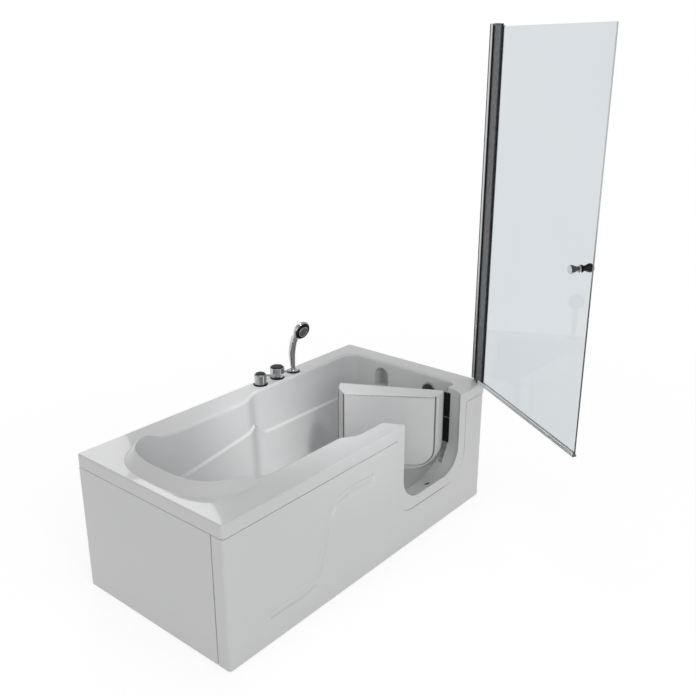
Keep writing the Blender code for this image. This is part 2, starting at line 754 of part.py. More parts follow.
def doorway_flare(depth):
    """How far the doorway has widened at a depth, on its free side and sill"""
    return TUNNEL_FLARE * depth / TUNNEL_DEPTH


def hinge_flare(depth):
    """How far the doorway has widened at a depth, on its hinge side"""
    share = min(max(depth / TUNNEL_DEPTH, 0.0), 1.0)
    return TUNNEL_FLARE_HINGE * (1 - (1 - share) ** 2.6)


def doorway_ring(depth, grow=0.0, top=RIM_HEIGHT + OVERRUN, corner=DOORWAY_CORNER, flare_depth=None):
    """The doorway's outline at a depth behind the front, grown all round and closed at the top"""
    flare_depth = max(depth, 0.0) if flare_depth is None else flare_depth
    left = DOORWAY_LEFT_X - doorway_flare(flare_depth) - grow
    right = DOORWAY_RIGHT_X + hinge_flare(flare_depth) + grow
    sill = DOORWAY_SILL_Z - doorway_flare(flare_depth) - grow
    outline = [(left, top)]
    outline += arc((left + corner, sill + corner), corner, 180, 270, 8, whole=True)
    outline += arc((right - corner, sill + corner), corner, 270, 360, 8, whole=True)
    outline.append((right, top))
    return [(x, FRONT_Y + depth, z) for x, z in outline]


def tub_shell():
    """The moulded tub: rim, deck, collar, basin, doorway and niche in one skin"""
    rings = list(reversed(wall_rings())) + edge_rings()
    rings += [
        flat_ring(rim_plan(LIP_ROUND), RIM_HEIGHT),
        flat_ring(rim_plan(LIP_ROUND * 0.3), RIM_HEIGHT - LIP_ROUND * 0.3),
        flat_ring(rim_plan(0.0), RIM_HEIGHT - LIP_ROUND),
        flat_ring(rim_plan(0.0), LIP_FOOT_Z),
        flat_ring(rim_plan(LIP_WALL), LIP_FOOT_Z),
        flat_ring(rim_plan(LIP_WALL), DECK_UNDER_Z),
    ]
    rings += edge_under_rings() + wall_rings(SHELL_WALL)
    shell = loft("tub_shell", rings, WHITE)

    hollow_rings = list(reversed(wall_rings(SHELL_WALL / 2)))
    hollow_rings.append(flat_ring(basin_plan(-SHELL_WALL / 2), RIM_HEIGHT - BASIN_ROUND))
    hollow_rings.append(flat_ring(basin_plan(-SHELL_WALL / 2), RIM_HEIGHT + OVERRUN))
    hollow = loft("basin hollow", hollow_rings)

    combine(shell, doorway_wall(hollow), "UNION")
    combine(shell, niche_wall(hollow), "UNION")
    combine(shell, doorway_opening())
    combine(shell, hinge_pocket())
    combine(shell, band_trim())
    combine(shell, niche_opening())
    for cutter in shell_holes():
        combine(shell, cutter)
    return shell


def doorway_wall(hollow):
    """The band round the doorway, the tunnel's own wall and the wall of the hinge pocket"""
    inside_deck = RIM_HEIGHT - SHELL_WALL / 2
    depths = [BAND_DEPTH / 2]
    depths += [TUNNEL_DEPTH * share for share in TUNNEL_RING_SHARES]
    depths.append(TUNNEL_REACH)
    corner = DOORWAY_CORNER + SHELL_WALL
    tunnel = loft("tunnel wall", [
        doorway_ring(depth, SHELL_WALL, inside_deck, corner + doorway_flare(depth)) for depth in depths
    ])
    band_top = LIP_FOOT_Z + LIP_WALL
    band = loft("doorway band", [
        doorway_ring(depth, DOORWAY_BAND, band_top, BAND_CORNER, 0.0) for depth in (0.0, BAND_DEPTH)
    ])
    pocket_right = DOORWAY_RIGHT_X + TUNNEL_FLARE_HINGE + POCKET_DEPTH + SHELL_WALL
    pocket = box(
        "pocket wall",
        (DOORWAY_RIGHT_X, FRONT_Y + POCKET_SETBACK - SHELL_WALL, POCKET_FOOT_Z - SHELL_WALL),
        (pocket_right, BASIN_DOOR_Y - SHELL_WALL / 4, inside_deck),
    )
    combine(tunnel, pocket, "UNION")
    combine(tunnel, hollow)
    combine(tunnel, band, "UNION")
    return tunnel


def doorway_opening():
    """The way through the doorway, flared towards the basin"""
    depths = [TUNNEL_DEPTH * share for share in TUNNEL_RING_SHARES]
    depths.append(TUNNEL_REACH + OVERRUN)
    rings = [doorway_ring(-OVERRUN), doorway_ring(0.0)]
    rings += [doorway_ring(depth, corner=DOORWAY_CORNER + doorway_flare(depth)) for depth in depths]
    return loft("doorway opening", rings)


def hinge_pocket():
    """The recess behind the hinge side of the doorway, with a wider head under the deck"""
    jamb = DOORWAY_RIGHT_X + TUNNEL_FLARE_HINGE
    return box(
        "hinge pocket",
        (jamb - POCKET_DEPTH, FRONT_Y + POCKET_SETBACK, POCKET_FOOT_Z),
        (jamb + POCKET_DEPTH, BASIN_DOOR_Y + 3 * POCKET_DEPTH, POCKET_HEAD_Z),
    )


def band_trim():
    """Sets the doorway band flush with the apron at its free side and sill

    The lip's proud face ends there in a slope beside the doorway.
    """
    flush = FRONT_Y + LIP_PROUD
    outside = FRONT_Y - OVERRUN
    fade_from = DOORWAY_RIGHT_X - BAND_FADE_FROM
    fade_to = DOORWAY_RIGHT_X - BAND_FADE_TO
    band_left = DOORWAY_LEFT_X - DOORWAY_BAND
    levels = (
        (band_left - OVERRUN, DOORWAY_SILL_Z - DOORWAY_BAND - OVERRUN),
        (band_left - OVERRUN, LIP_FOOT_Z - LIP_END_SET),
        (band_left, LIP_FOOT_Z),
        (band_left + LIP_END_SLOPE, RIM_HEIGHT + LIP_END_SET),
    )
    rings = []
    for left, z in levels:
        inside = ((left, flush), (fade_from, flush), (fade_to, FRONT_Y - LIP_END_SET))
        plan = (*inside, (fade_to, outside), (left, outside))
        rings.append([(x, y, z) for x, y in plan])
    return loft("band trim", rings)


def arch_ring(x, grow):
    """The niche's arched outline in the foot end wall"""
    radius = NICHE_WIDTH / 2 + grow
    spring = NICHE_TOP_Z - NICHE_WIDTH / 2
    outline = [(NICHE_Y - radius, NICHE_FOOT_Z - grow), (NICHE_Y + radius, NICHE_FOOT_Z - grow)]
    outline += arc((NICHE_Y, spring), radius, 0, 180, 12)
    outline.append((NICHE_Y - radius, spring))
    return [(x, y, z) for y, z in outline]


def niche_wall(hollow):
    """The wall round the niche, behind the foot end wall"""
    back = BASIN_FOOT_X + NICHE_DEPTH + SHELL_WALL
    wall = loft("niche wall", [arch_ring(x, SHELL_WALL) for x in (BASIN_FOOT_X - OVERRUN, back)])
    combine(wall, hollow)
    return wall


def niche_opening():
    """The niche, open to the basin"""
    back = BASIN_FOOT_X + NICHE_DEPTH
    return loft("niche opening", [arch_ring(x, 0.0) for x in (BASIN_FOOT_X - OVERRUN, back)])


def foot_wall_inset(z):
    """How far the foot end wall has come in at a height above the armrest line"""
    top = RIM_HEIGHT - BASIN_ROUND
    return ARMREST_DRAFT * (top - z) / (top - ARMREST_FOOT_Z - ARMREST_EASE)


def overflow_pivot():
    """A frame on the foot end wall, its Z axis pointing into the basin"""
    lean = math.atan(ARMREST_DRAFT / (RIM_HEIGHT - BASIN_ROUND - ARMREST_FOOT_Z - ARMREST_EASE))
    place = (BASIN_FOOT_X - foot_wall_inset(OVERFLOW_Z), OVERFLOW_Y, OVERFLOW_Z)
    return place, (0, lean - math.pi / 2, 0)


def sill_surface(setback):
    """Height of the doorway's sill at a distance behind the front"""
    return DOORWAY_SILL_Z - doorway_flare(setback)


def sill_pivot():
    """A frame on the sloping sill, its Z axis square to the surface"""
    slope = math.atan(TUNNEL_FLARE / TUNNEL_DEPTH)
    place = (SILL_DRAIN_X, FRONT_Y + SILL_DRAIN_SETBACK, sill_surface(SILL_DRAIN_SETBACK))
    return place, (-slope, 0, 0)


def shell_holes():
    """Cutters for the drain, the overflow, the sill drain and the deck fittings"""
    cutters = []
    low, high = floor_height(DRAIN_X) - SHELL_WALL - OVERRUN, FLOOR_Z + OVERRUN
    cutters.append(rod("drain hole", DRAIN_HOLE_RADIUS, (DRAIN_X, 0, low), (DRAIN_X, 0, high), sides=32))
    for name, radius, (place, turn) in (
        ("overflow hole", OVERFLOW_HOLE_RADIUS, overflow_pivot()),
        ("sill drain hole", SILL_DRAIN_RADIUS + GAP, sill_pivot()),
    ):
        cutter = rod(name, radius, (0, 0, -OVERRUN), (0, 0, OVERRUN))
        cutter.location = place
        cutter.rotation_euler = turn
        cutters.append(cutter)
    for i, x in enumerate((VALVE_FLOW_X, VALVE_TEMP_X, SHOWER_X), 1):
        low = (x, DECK_FITTING_Y, DECK_UNDER_Z - OVERRUN)
        high = (x, DECK_FITTING_Y, RIM_HEIGHT + OVERRUN)
        cutters.append(rod(f"deck hole {i}", DECK_HOLE_RADIUS, low, high))
    return cutters


def groove_line():
    """The middle of the S-shaped groove in the apron"""
    high = LIP_FOOT_Z - GROOVE_START_UNDER_LIP
    places = [
        (GROOVE_START_FROM_DOORWAY, high),
        (GROOVE_BEND_FROM_DOORWAY, high),
        (GROOVE_FALL_FROM_DOORWAY, LIP_FOOT_Z - GROOVE_FALL_UNDER_LIP),
        (GROOVE_FOOT_FROM_DOORWAY, GROOVE_FOOT_Z),
        (GROOVE_TOE_FROM_DOORWAY, GROOVE_TOE_Z),
        (GROOVE_END_FROM_DOORWAY, GROOVE_TOE_Z),
    ]
    return smooth_route([(DOORWAY_LEFT_X - reach, z, 0) for reach, z in places], 5)


def groove_outline(half):
    """The groove's outline at a half width, with round ends"""
    line = groove_line()
    ahead = [b - a for a, b in zip(line, line[1:])]
    ahead = [ahead[0]] + [a + b for a, b in zip(ahead, ahead[1:])] + [ahead[-1]]
    sides = [Vector((-step.y, step.x, 0)).normalized() * half for step in ahead]
    left = [p + side for p, side in zip(line, sides)]
    right = [p - side for p, side in zip(line, sides)]

    def round_end(middle, side, out):
        turns = [math.radians(degrees) for degrees in (45, 90, 135)]
        return [middle + side * math.cos(a) + out * math.sin(a) for a in turns]

    far_end = round_end(line[-1], sides[-1], ahead[-1].normalized() * half)
    near_end = round_end(line[0], -sides[0], -ahead[0].normalized() * half)
    return left + far_end + list(reversed(right)) + near_end


def apron():
    """The front panel, returned round both ends, with the doorway cut out and the groove pressed in"""
    outer_x = HALF_LENGTH - LIP_PROUD
    outer_y = FRONT_Y + LIP_PROUD
    inner_x = outer_x - PANEL_WALL
    inner_y = outer_y + PANEL_WALL
    back_y = FRONT_Y + APRON_RETURN
    inner_corner = APRON_CORNER - PANEL_WALL
    plan = [(-outer_x, back_y)]
    plan += arc((-outer_x + APRON_CORNER, outer_y + APRON_CORNER), APRON_CORNER, 180, 270, 5, whole=True)
    plan += arc((outer_x - APRON_CORNER, outer_y + APRON_CORNER), APRON_CORNER, 270, 360, 5, whole=True)
    plan += [(outer_x, back_y), (inner_x, back_y)]
    plan += arc((inner_x - inner_corner, inner_y + inner_corner), inner_corner, 360, 270, 3, whole=True)
    plan += arc((-inner_x + inner_corner, inner_y + inner_corner), inner_corner, 270, 180, 3, whole=True)
    plan.append((-inner_x, back_y))
    panel = prism("front_apron", plan, PANEL_FLOOR_GAP, LIP_FOOT_Z - GAP, WHITE)

    opening = loft("apron opening", [
        doorway_ring(depth, DOORWAY_BAND + GAP, corner=BAND_CORNER + GAP, flare_depth=0.0)
        for depth in (-OVERRUN, BAND_DEPTH + OVERRUN)
    ])
    combine(panel, opening)

    wide = GROOVE_WIDTH / 2
    narrow = wide - GROOVE_DEPTH
    rings = []
    for depth, half in ((-OVERRUN, wide), (LIP_PROUD, wide), (LIP_PROUD + GROOVE_DEPTH, narrow)):
        rings.append([(p.x, FRONT_Y + depth, p.y) for p in groove_outline(half)])
    combine(panel, loft("groove", rings))
    return panel


def end_panel():
    """The removable panel on the head end"""
    outer_x = -HALF_LENGTH + LIP_PROUD
    return box(
        "head_end_panel",
        (outer_x, FRONT_Y + APRON_RETURN + GAP, PANEL_FLOOR_GAP),
        (outer_x + PANEL_WALL, HALF_WIDTH - LIP_PROUD, LIP_FOOT_Z - GAP),
        WHITE,
    )


def support_frame():
    """The welded steel frame under the rim: three cross tubes with posts, and two long rails"""
    half = FRAME_TUBE / 2
    top = FRAME_FOOT_Z + FRAME_TUBE
    stations = (FRAME_HEAD_X, 0.0, FRAME_FOOT_X)
    frame = None
    for i, x in enumerate(stations, 1):
        finish = STEEL if frame is None else None
        name = "support_frame" if frame is None else f"cross tube {i}"
        low, high = (x - half, -FRAME_POST_Y - half, FRAME_FOOT_Z), (x + half, FRAME_POST_Y + half, top)
        tube = box(name, low, high, finish)
        if frame is None:
            frame = tube
        else:
            combine(frame, tube, "UNION")
    inset = GAP * 3
    for side in (-1, 1):
        y = side * FRAME_RAIL_Y
        low = (FRAME_HEAD_X - half + inset, y - half, FRAME_FOOT_Z + inset)
        high = (FRAME_FOOT_X + half - inset, y + half, top - inset)
        combine(frame, box(f"long rail {side}", low, high), "UNION")
        for i, x in enumerate(stations, 1):
            y = side * FRAME_POST_Y
            low = (x - half + inset, y - half + inset, top - half)
            high = (x + half - inset, y + half - inset, DECK_UNDER_Z - GAP)
            combine(frame, box(f"post {i} {side}", low, high), "UNION")
    return frame


def levelling_feet():
    """A screwed foot under each end of the cross tubes and one in the middle of the tub"""
    places = [(x, side * FOOT_SPREAD_Y) for x in (FRAME_HEAD_X, 0.0, FRAME_FOOT_X) for side in (-1, 1)]
    places.append((0.0, 0.0))
    top = FRAME_FOOT_Z - GAP
    profile = [
        (0, top),
        (FOOT_NUT_RADIUS, top),
        (FOOT_NUT_RADIUS, top - FOOT_NUT_THICK),
        (FOOT_ROD_RADIUS, top - FOOT_NUT_THICK),
        (FOOT_ROD_RADIUS, FOOT_PAD_THICK * 1.5),
        (FOOT_PAD_RADIUS * 0.6, FOOT_PAD_THICK),
        (FOOT_PAD_RADIUS, FOOT_PAD_THICK * 0.6),
        (FOOT_PAD_RADIUS, 0),
        (0, 0),
    ]
    for i, (x, y) in enumerate(places, 1):
        turned(f"levelling_foot_{i}", profile, STEEL, (x, y, 0), steps=12)


def panel_ring(depth, inset):
    """The raised panel on the door's face"""
    left = DOORWAY_LEFT_X + DOOR_PANEL_SIDE + inset
    right = DOORWAY_RIGHT_X - DOOR_PANEL_SIDE - inset
    sill = DOORWAY_SILL_Z + DOOR_PANEL_SILL + inset
    corner = DOOR_PANEL_CORNER
    top = DECK_UNDER_Z - GAP
    outline = [(left, top)]
    outline += arc((left + corner, sill + corner), corner, 180, 270, 8, whole=True)
    outline += arc((right - corner, sill + corner), corner, 270, 360, 8, whole=True)
    outline.append((right, top))
    return [(x, FRONT_Y + depth, z) for x, z in outline]


def door_skin():
    """The door's outer moulding: the raised panel and the flared sides behind it"""
    top = DECK_UNDER_Z - GAP
    rings = [
        panel_ring(0.0, DOOR_PANEL_EDGE),
        panel_ring(DOOR_PANEL_EDGE * 0.3, DOOR_PANEL_EDGE * 0.3),
        panel_ring(DOOR_PANEL_EDGE, 0.0),
        panel_ring(DOOR_LEDGE_DEPTH, 0.0),
    ]
    for depth in (DOOR_LEDGE_DEPTH, mix(DOOR_LEDGE_DEPTH, DOOR_SKIN_DEPTH, 0.5), DOOR_SKIN_DEPTH):
        corner = DOORWAY_CORNER + doorway_flare(depth)
        rings.append(doorway_ring(depth, -DOOR_CLEARANCE, top, corner))
    return loft("door_outer_skin", rings, WHITE)


def door_gasket():
    """The seal clamped between the door's two mouldings, a U of rubber just proud of their sides"""
    near = DOOR_SKIN_DEPTH + GAP
    rings = []
    outer_grow = DOOR_GASKET_LIP - DOOR_CLEARANCE
    inner_grow = outer_grow - DOOR_GASKET_WIDTH
    top = DECK_UNDER_Z - GAP
    for depth in (near, near + DOOR_GASKET_THICK):
        corner = DOORWAY_CORNER + doorway_flare(near)
        outer = doorway_ring(depth, outer_grow, top, corner, near)
        inner = doorway_ring(depth, inner_grow, top, corner - DOOR_GASKET_WIDTH, near)
        rings.append(outer + list(reversed(inner)))
    return loft("door_gasket", rings, RUBBER)


def panel_bead():
    """The thin rubber bead in the step round the door's raised panel"""
    depth = DOOR_LEDGE_DEPTH - BEAD_RADIUS - GAP
    ring = panel_ring(depth, -BEAD_RADIUS - GAP)
    return bent_rod("door_panel_bead", ring, [BEAD_RADIUS] * len(ring), RUBBER, fine=1)


def door_back(x):
    """Distance from the front to the door's back face, thick at the free edge, thin at the hinge"""
    free = DOORWAY_LEFT_X - doorway_flare(DOOR_SKIN_DEPTH)
    hinge = DOORWAY_RIGHT_X + hinge_flare(DOOR_SKIN_DEPTH)
    return mix(DOOR_THICK_FREE, DOOR_THICK_HINGE, (x - free) / (hinge - free))


def door_liner():
    """The door's inner moulding, with the lid that covers the top of the whole door"""
    near = DOOR_SKIN_DEPTH + 2 * GAP + DOOR_GASKET_THICK
    flare_at = DOOR_SKIN_DEPTH
    corner = DOORWAY_CORNER + doorway_flare(flare_at)
    lid_foot = DECK_UNDER_Z

    def lid_ring(depth, at_depth, top_drop, inset):
        full = doorway_ring(depth, -DOOR_CLEARANCE - inset, RIM_HEIGHT - top_drop, corner, at_depth)
        if depth < DOOR_LEDGE_DEPTH:
            full = panel_ring(depth, inset)
        left, right = full[0][0], full[-1][0]
        inner = full[1:-1]
        ring = [(left, FRONT_Y + depth, RIM_HEIGHT - top_drop)]
        for i in range(len(inner)):
            ring.append((mix(left, right, i / (len(inner) - 1)), FRONT_Y + depth, lid_foot))
        ring.append((right, FRONT_Y + depth, RIM_HEIGHT - top_drop))
        return ring

    def back_ring(lift, inset):
        full = doorway_ring(near, -DOOR_CLEARANCE - inset, RIM_HEIGHT - inset, corner, flare_at)
        return [(x, FRONT_Y + door_back(x) - lift, z) for x, y, z in full]

    small = DOOR_PANEL_EDGE * 0.3
    middle = mix(DOOR_LEDGE_DEPTH, DOOR_SKIN_DEPTH, 0.5)
    rings = [
        lid_ring(0.0, 0.0, DOOR_PANEL_EDGE, DOOR_PANEL_EDGE),
        lid_ring(small, 0.0, small, small),
        lid_ring(DOOR_PANEL_EDGE, 0.0, 0.0, 0.0),
        lid_ring(DOOR_LEDGE_DEPTH - GAP, 0.0, 0.0, 0.0),
        lid_ring(DOOR_LEDGE_DEPTH, DOOR_LEDGE_DEPTH, 0.0, 0.0),
        lid_ring(middle, middle, 0.0, 0.0),
        lid_ring(flare_at, flare_at, 0.0, 0.0),
        lid_ring(near, flare_at, 0.0, 0.0),
        doorway_ring(near, -DOOR_CLEARANCE, RIM_HEIGHT, corner, flare_at),
        back_ring(DOOR_BACK_ROUND, 0.0),
        back_ring(DOOR_BACK_ROUND * 0.6, DOOR_BACK_ROUND * 0.08),
        back_ring(DOOR_BACK_ROUND * 0.3, DOOR_BACK_ROUND * 0.3),
        back_ring(DOOR_BACK_ROUND * 0.08, DOOR_BACK_ROUND * 0.6),
        back_ring(0.0, DOOR_BACK_ROUND),
    ]
    return loft("door_inner_liner", rings, WHITE)


def knuckle_heights(index):
    """The bottom and top of one of the hinge's three knuckles"""
    low = mix(LEAF_FOOT_Z, LEAF_HEAD_Z, KNUCKLE_SHARES[index]) + KNUCKLE_GAP / 2
    high = mix(LEAF_FOOT_Z, LEAF_HEAD_Z, KNUCKLE_SHARES[index + 1]) - KNUCKLE_GAP / 2
    return low, high


def door_hinge(door):
    """The long three-knuckle hinge: jamb leaf, door leaf, pin and the black covers of the jamb leaf"""
    jamb_x = DOORWAY_RIGHT_X + TUNNEL_FLARE_HINGE + POCKET_DEPTH - GAP
    jamb_y = FRONT_Y + POCKET_SETBACK + GAP
    low, high = (jamb_x - LEAF_THICK, jamb_y, LEAF_FOOT_Z), (jamb_x, LEAF_INNER_Y, LEAF_HEAD_Z)
    jamb = box("hinge_jamb_leaf", low, high, STEEL)
    low = (DOOR_HINGE_X, DOOR_HINGE_Y, LEAF_FOOT_Z - OVERRUN)
    high = (DOOR_HINGE_X, DOOR_HINGE_Y, LEAF_HEAD_Z + OVERRUN)
    bore = PIN_RADIUS + PIN_CLEARANCE
    bores = [rod(name, bore, low, high) for name in ("jamb leaf bore", "door leaf bore")]
    for index in (0, 2):
        low, high = knuckle_heights(index)
        arm = box(
            f"jamb knuckle arm {index}",
            (DOOR_HINGE_X + BARREL_RADIUS / 2, LEAF_INNER_Y - LEAF_THICK, low),
            (jamb_x - LEAF_THICK / 2, LEAF_INNER_Y - GAP, high),
        )
        combine(jamb, arm, "UNION")
        round_end = rod(
            f"jamb knuckle {index}", BARREL_RADIUS,
            (DOOR_HINGE_X, DOOR_HINGE_Y, low), (DOOR_HINGE_X, DOOR_HINGE_Y, high),
        )
        combine(jamb, round_end, "UNION")
    combine(jamb, bores[0])

    slope = math.atan((DOOR_THICK_FREE - DOOR_THICK_HINGE) / (DOORWAY_WIDTH + 2 * TUNNEL_FLARE))
    far = Vector((DOOR_HINGE_X - DOOR_LEAF_SETBACK, 0))
    far.y = FRONT_Y + door_back(far.x) + GAP
    along = Vector((-math.cos(slope), math.sin(slope)))
    out = Vector((math.sin(slope), math.cos(slope)))
    near = far + along * DOOR_LEAF_WIDTH
    outline = [far, far + out * LEAF_THICK, near + out * LEAF_THICK, near]
    leaf = prism("hinge_door_leaf", [(p.x, p.y) for p in outline], LEAF_FOOT_Z, LEAF_HEAD_Z, STEEL)
    low, high = knuckle_heights(1)
    start = far + out * LEAF_THICK / 2 + along * LEAF_THICK
    reach = Vector((DOOR_HINGE_X, DOOR_HINGE_Y)) - start
    side = Vector((-reach.y, reach.x)).normalized() * LEAF_THICK / 2
    arm = [start - side, start + reach * 0.8 - side, start + reach * 0.8 + side, start + side]
    link = prism("door knuckle arm", [(p.x, p.y) for p in arm], low, high)
    foot, head = (DOOR_HINGE_X, DOOR_HINGE_Y, low), (DOOR_HINGE_X, DOOR_HINGE_Y, high)
    round_end = rod("door knuckle", BARREL_RADIUS, foot, head)
    combine(leaf, link, "UNION")
    combine(leaf, round_end, "UNION")
    combine(leaf, bores[1])
    for part in (leaf, link, round_end, bores[1]):
        hang(part, door)

    profile = [
        (0, LEAF_HEAD_Z + GAP + PIN_HEAD_THICK),
        (PIN_HEAD_RADIUS, LEAF_HEAD_Z + GAP + PIN_HEAD_THICK),
        (PIN_HEAD_RADIUS, LEAF_HEAD_Z + GAP),
        (PIN_RADIUS, LEAF_HEAD_Z + GAP),
        (PIN_RADIUS, LEAF_FOOT_Z),
        (0, LEAF_FOOT_Z),
    ]
    turned("hinge_pin", profile, STEEL, (DOOR_HINGE_X, DOOR_HINGE_Y, 0), steps=20)

    cover_x = jamb_x - LEAF_THICK - GAP
    spans = (
        ("hinge_cover_lower", COVER_FOOT_Z, COVER_SPLIT_Z - GAP, COVER_THICK, BLACK),
        ("hinge_cover_band", COVER_SPLIT_Z, COVER_SPLIT_Z + COVER_RING, COVER_THICK, CHROME),
        ("hinge_cover_upper", COVER_SPLIT_Z + COVER_RING + GAP, LEAF_HEAD_Z, COVER_THICK, BLACK),
    )
    for name, low, high, thick, finish in spans:
        cover = box(name, (cover_x - thick, jamb_y, low), (cover_x, jamb_y + COVER_WIDTH, high), finish)
        soften(cover, LEAF_THICK / 3)


def door_latch(door):
    """The turning latch on the door's inner face, and its keeper on the basin wall"""
    slope = math.atan((DOOR_THICK_FREE - DOOR_THICK_HINGE) / (DOORWAY_WIDTH + 2 * TUNNEL_FLARE))
    frame = pivot("latch frame", (0, 0, 0))
    frame.location = (LATCH_X, FRONT_Y + door_back(LATCH_X) + GAP, LATCH_Z)
    frame.rotation_euler = (-math.pi / 2, 0, -slope)
    hang(frame, door)
    base_profile = [
        (0, LATCH_BASE_THICK),
        (LATCH_BASE_RADIUS * 0.8, LATCH_BASE_THICK),
        (LATCH_BASE_RADIUS, LATCH_BASE_THICK * 0.6),
        (LATCH_BASE_RADIUS, 0),
        (0, 0),
    ]
    base = turned("latch_base", base_profile, CHROME, steps=28)
    base.parent = frame
    turning = pivot("latch turn", (0, 0, LATCH_BASE_THICK + GAP), parent=frame)
    half = LATCH_BAR_WIDTH / 2
    bar = box("latch_lever", (-half, -LATCH_BAR_TAIL, 0), (half, LATCH_BAR_REACH, LATCH_BAR_THICK), CHROME)
    grip_y = -LATCH_BAR_TAIL + LATCH_GRIP_RADIUS
    low, high = LATCH_BAR_THICK / 2, LATCH_BAR_THICK + LATCH_GRIP_HEIGHT
    grip = rod("latch grip", LATCH_GRIP_RADIUS, (0, grip_y, low), (0, grip_y, high), sides=16)
    combine(bar, grip, "UNION")
    for part in (bar, grip):
        part.parent = turning
        part.rotation_euler = (0, 0, math.pi)

    wall_y = BASIN_DOOR_Y + foot_wall_inset(LATCH_Z)
    bar_y = FRONT_Y + door_back(KEEPER_X) + 2 * GAP + LATCH_BASE_THICK
    lip_y = bar_y + LATCH_BAR_THICK + KEEPER_CLEARANCE
    shelf_z = LATCH_Z - half - KEEPER_DROP
    lean = ARMREST_DRAFT * KEEPER_HEIGHT / (RIM_HEIGHT - BASIN_ROUND - ARMREST_FOOT_Z)
    outline = [
        (wall_y + lean / 2, shelf_z - KEEPER_THICK),
        (lip_y + KEEPER_THICK, shelf_z - KEEPER_THICK),
        (lip_y + KEEPER_THICK, shelf_z + KEEPER_LIP_HEIGHT),
        (lip_y, shelf_z + KEEPER_LIP_HEIGHT),
        (lip_y, shelf_z),
        (wall_y + KEEPER_THICK, shelf_z),
        (wall_y + KEEPER_THICK, shelf_z + KEEPER_HEIGHT),
        (wall_y - lean / 2, shelf_z + KEEPER_HEIGHT),
    ]
    low, high = KEEPER_X - KEEPER_WIDTH / 2, KEEPER_X + KEEPER_WIDTH / 2
    loft("latch_keeper", [[(x, y, z) for y, z in outline] for x in (low, high)], CHROME)


def sill_drain():
    """The rubber grommet in the sill's drain hole"""
    place, turn = sill_pivot()
    profile = [
        (SILL_DRAIN_FLANGE - SILL_DRAIN_FLANGE_THICK, SILL_DRAIN_FLANGE_THICK + GAP),
        (SILL_DRAIN_FLANGE, GAP),
        (SILL_DRAIN_RADIUS, GAP),
        (SILL_DRAIN_RADIUS, -SHELL_WALL),
        (SILL_DRAIN_BORE, -SHELL_WALL),
        (SILL_DRAIN_BORE, SILL_DRAIN_FLANGE_THICK + GAP),
    ]
    turned("sill_drain_grommet", profile, RUBBER, place, turn, steps=28, ring=True)


def tub_door():
    """The inward swinging door on its pivot, part open"""
    place = (DOOR_HINGE_X, DOOR_HINGE_Y, 0)
    door = pivot("tub door hinge axis", place)
    for part in (door_skin(), door_gasket(), panel_bead(), door_liner()):
        hang(part, door)
    door_hinge(door)
    door_latch(door)
    door.rotation_euler = (0, 0, -math.radians(DOOR_OPEN_DEGREES))


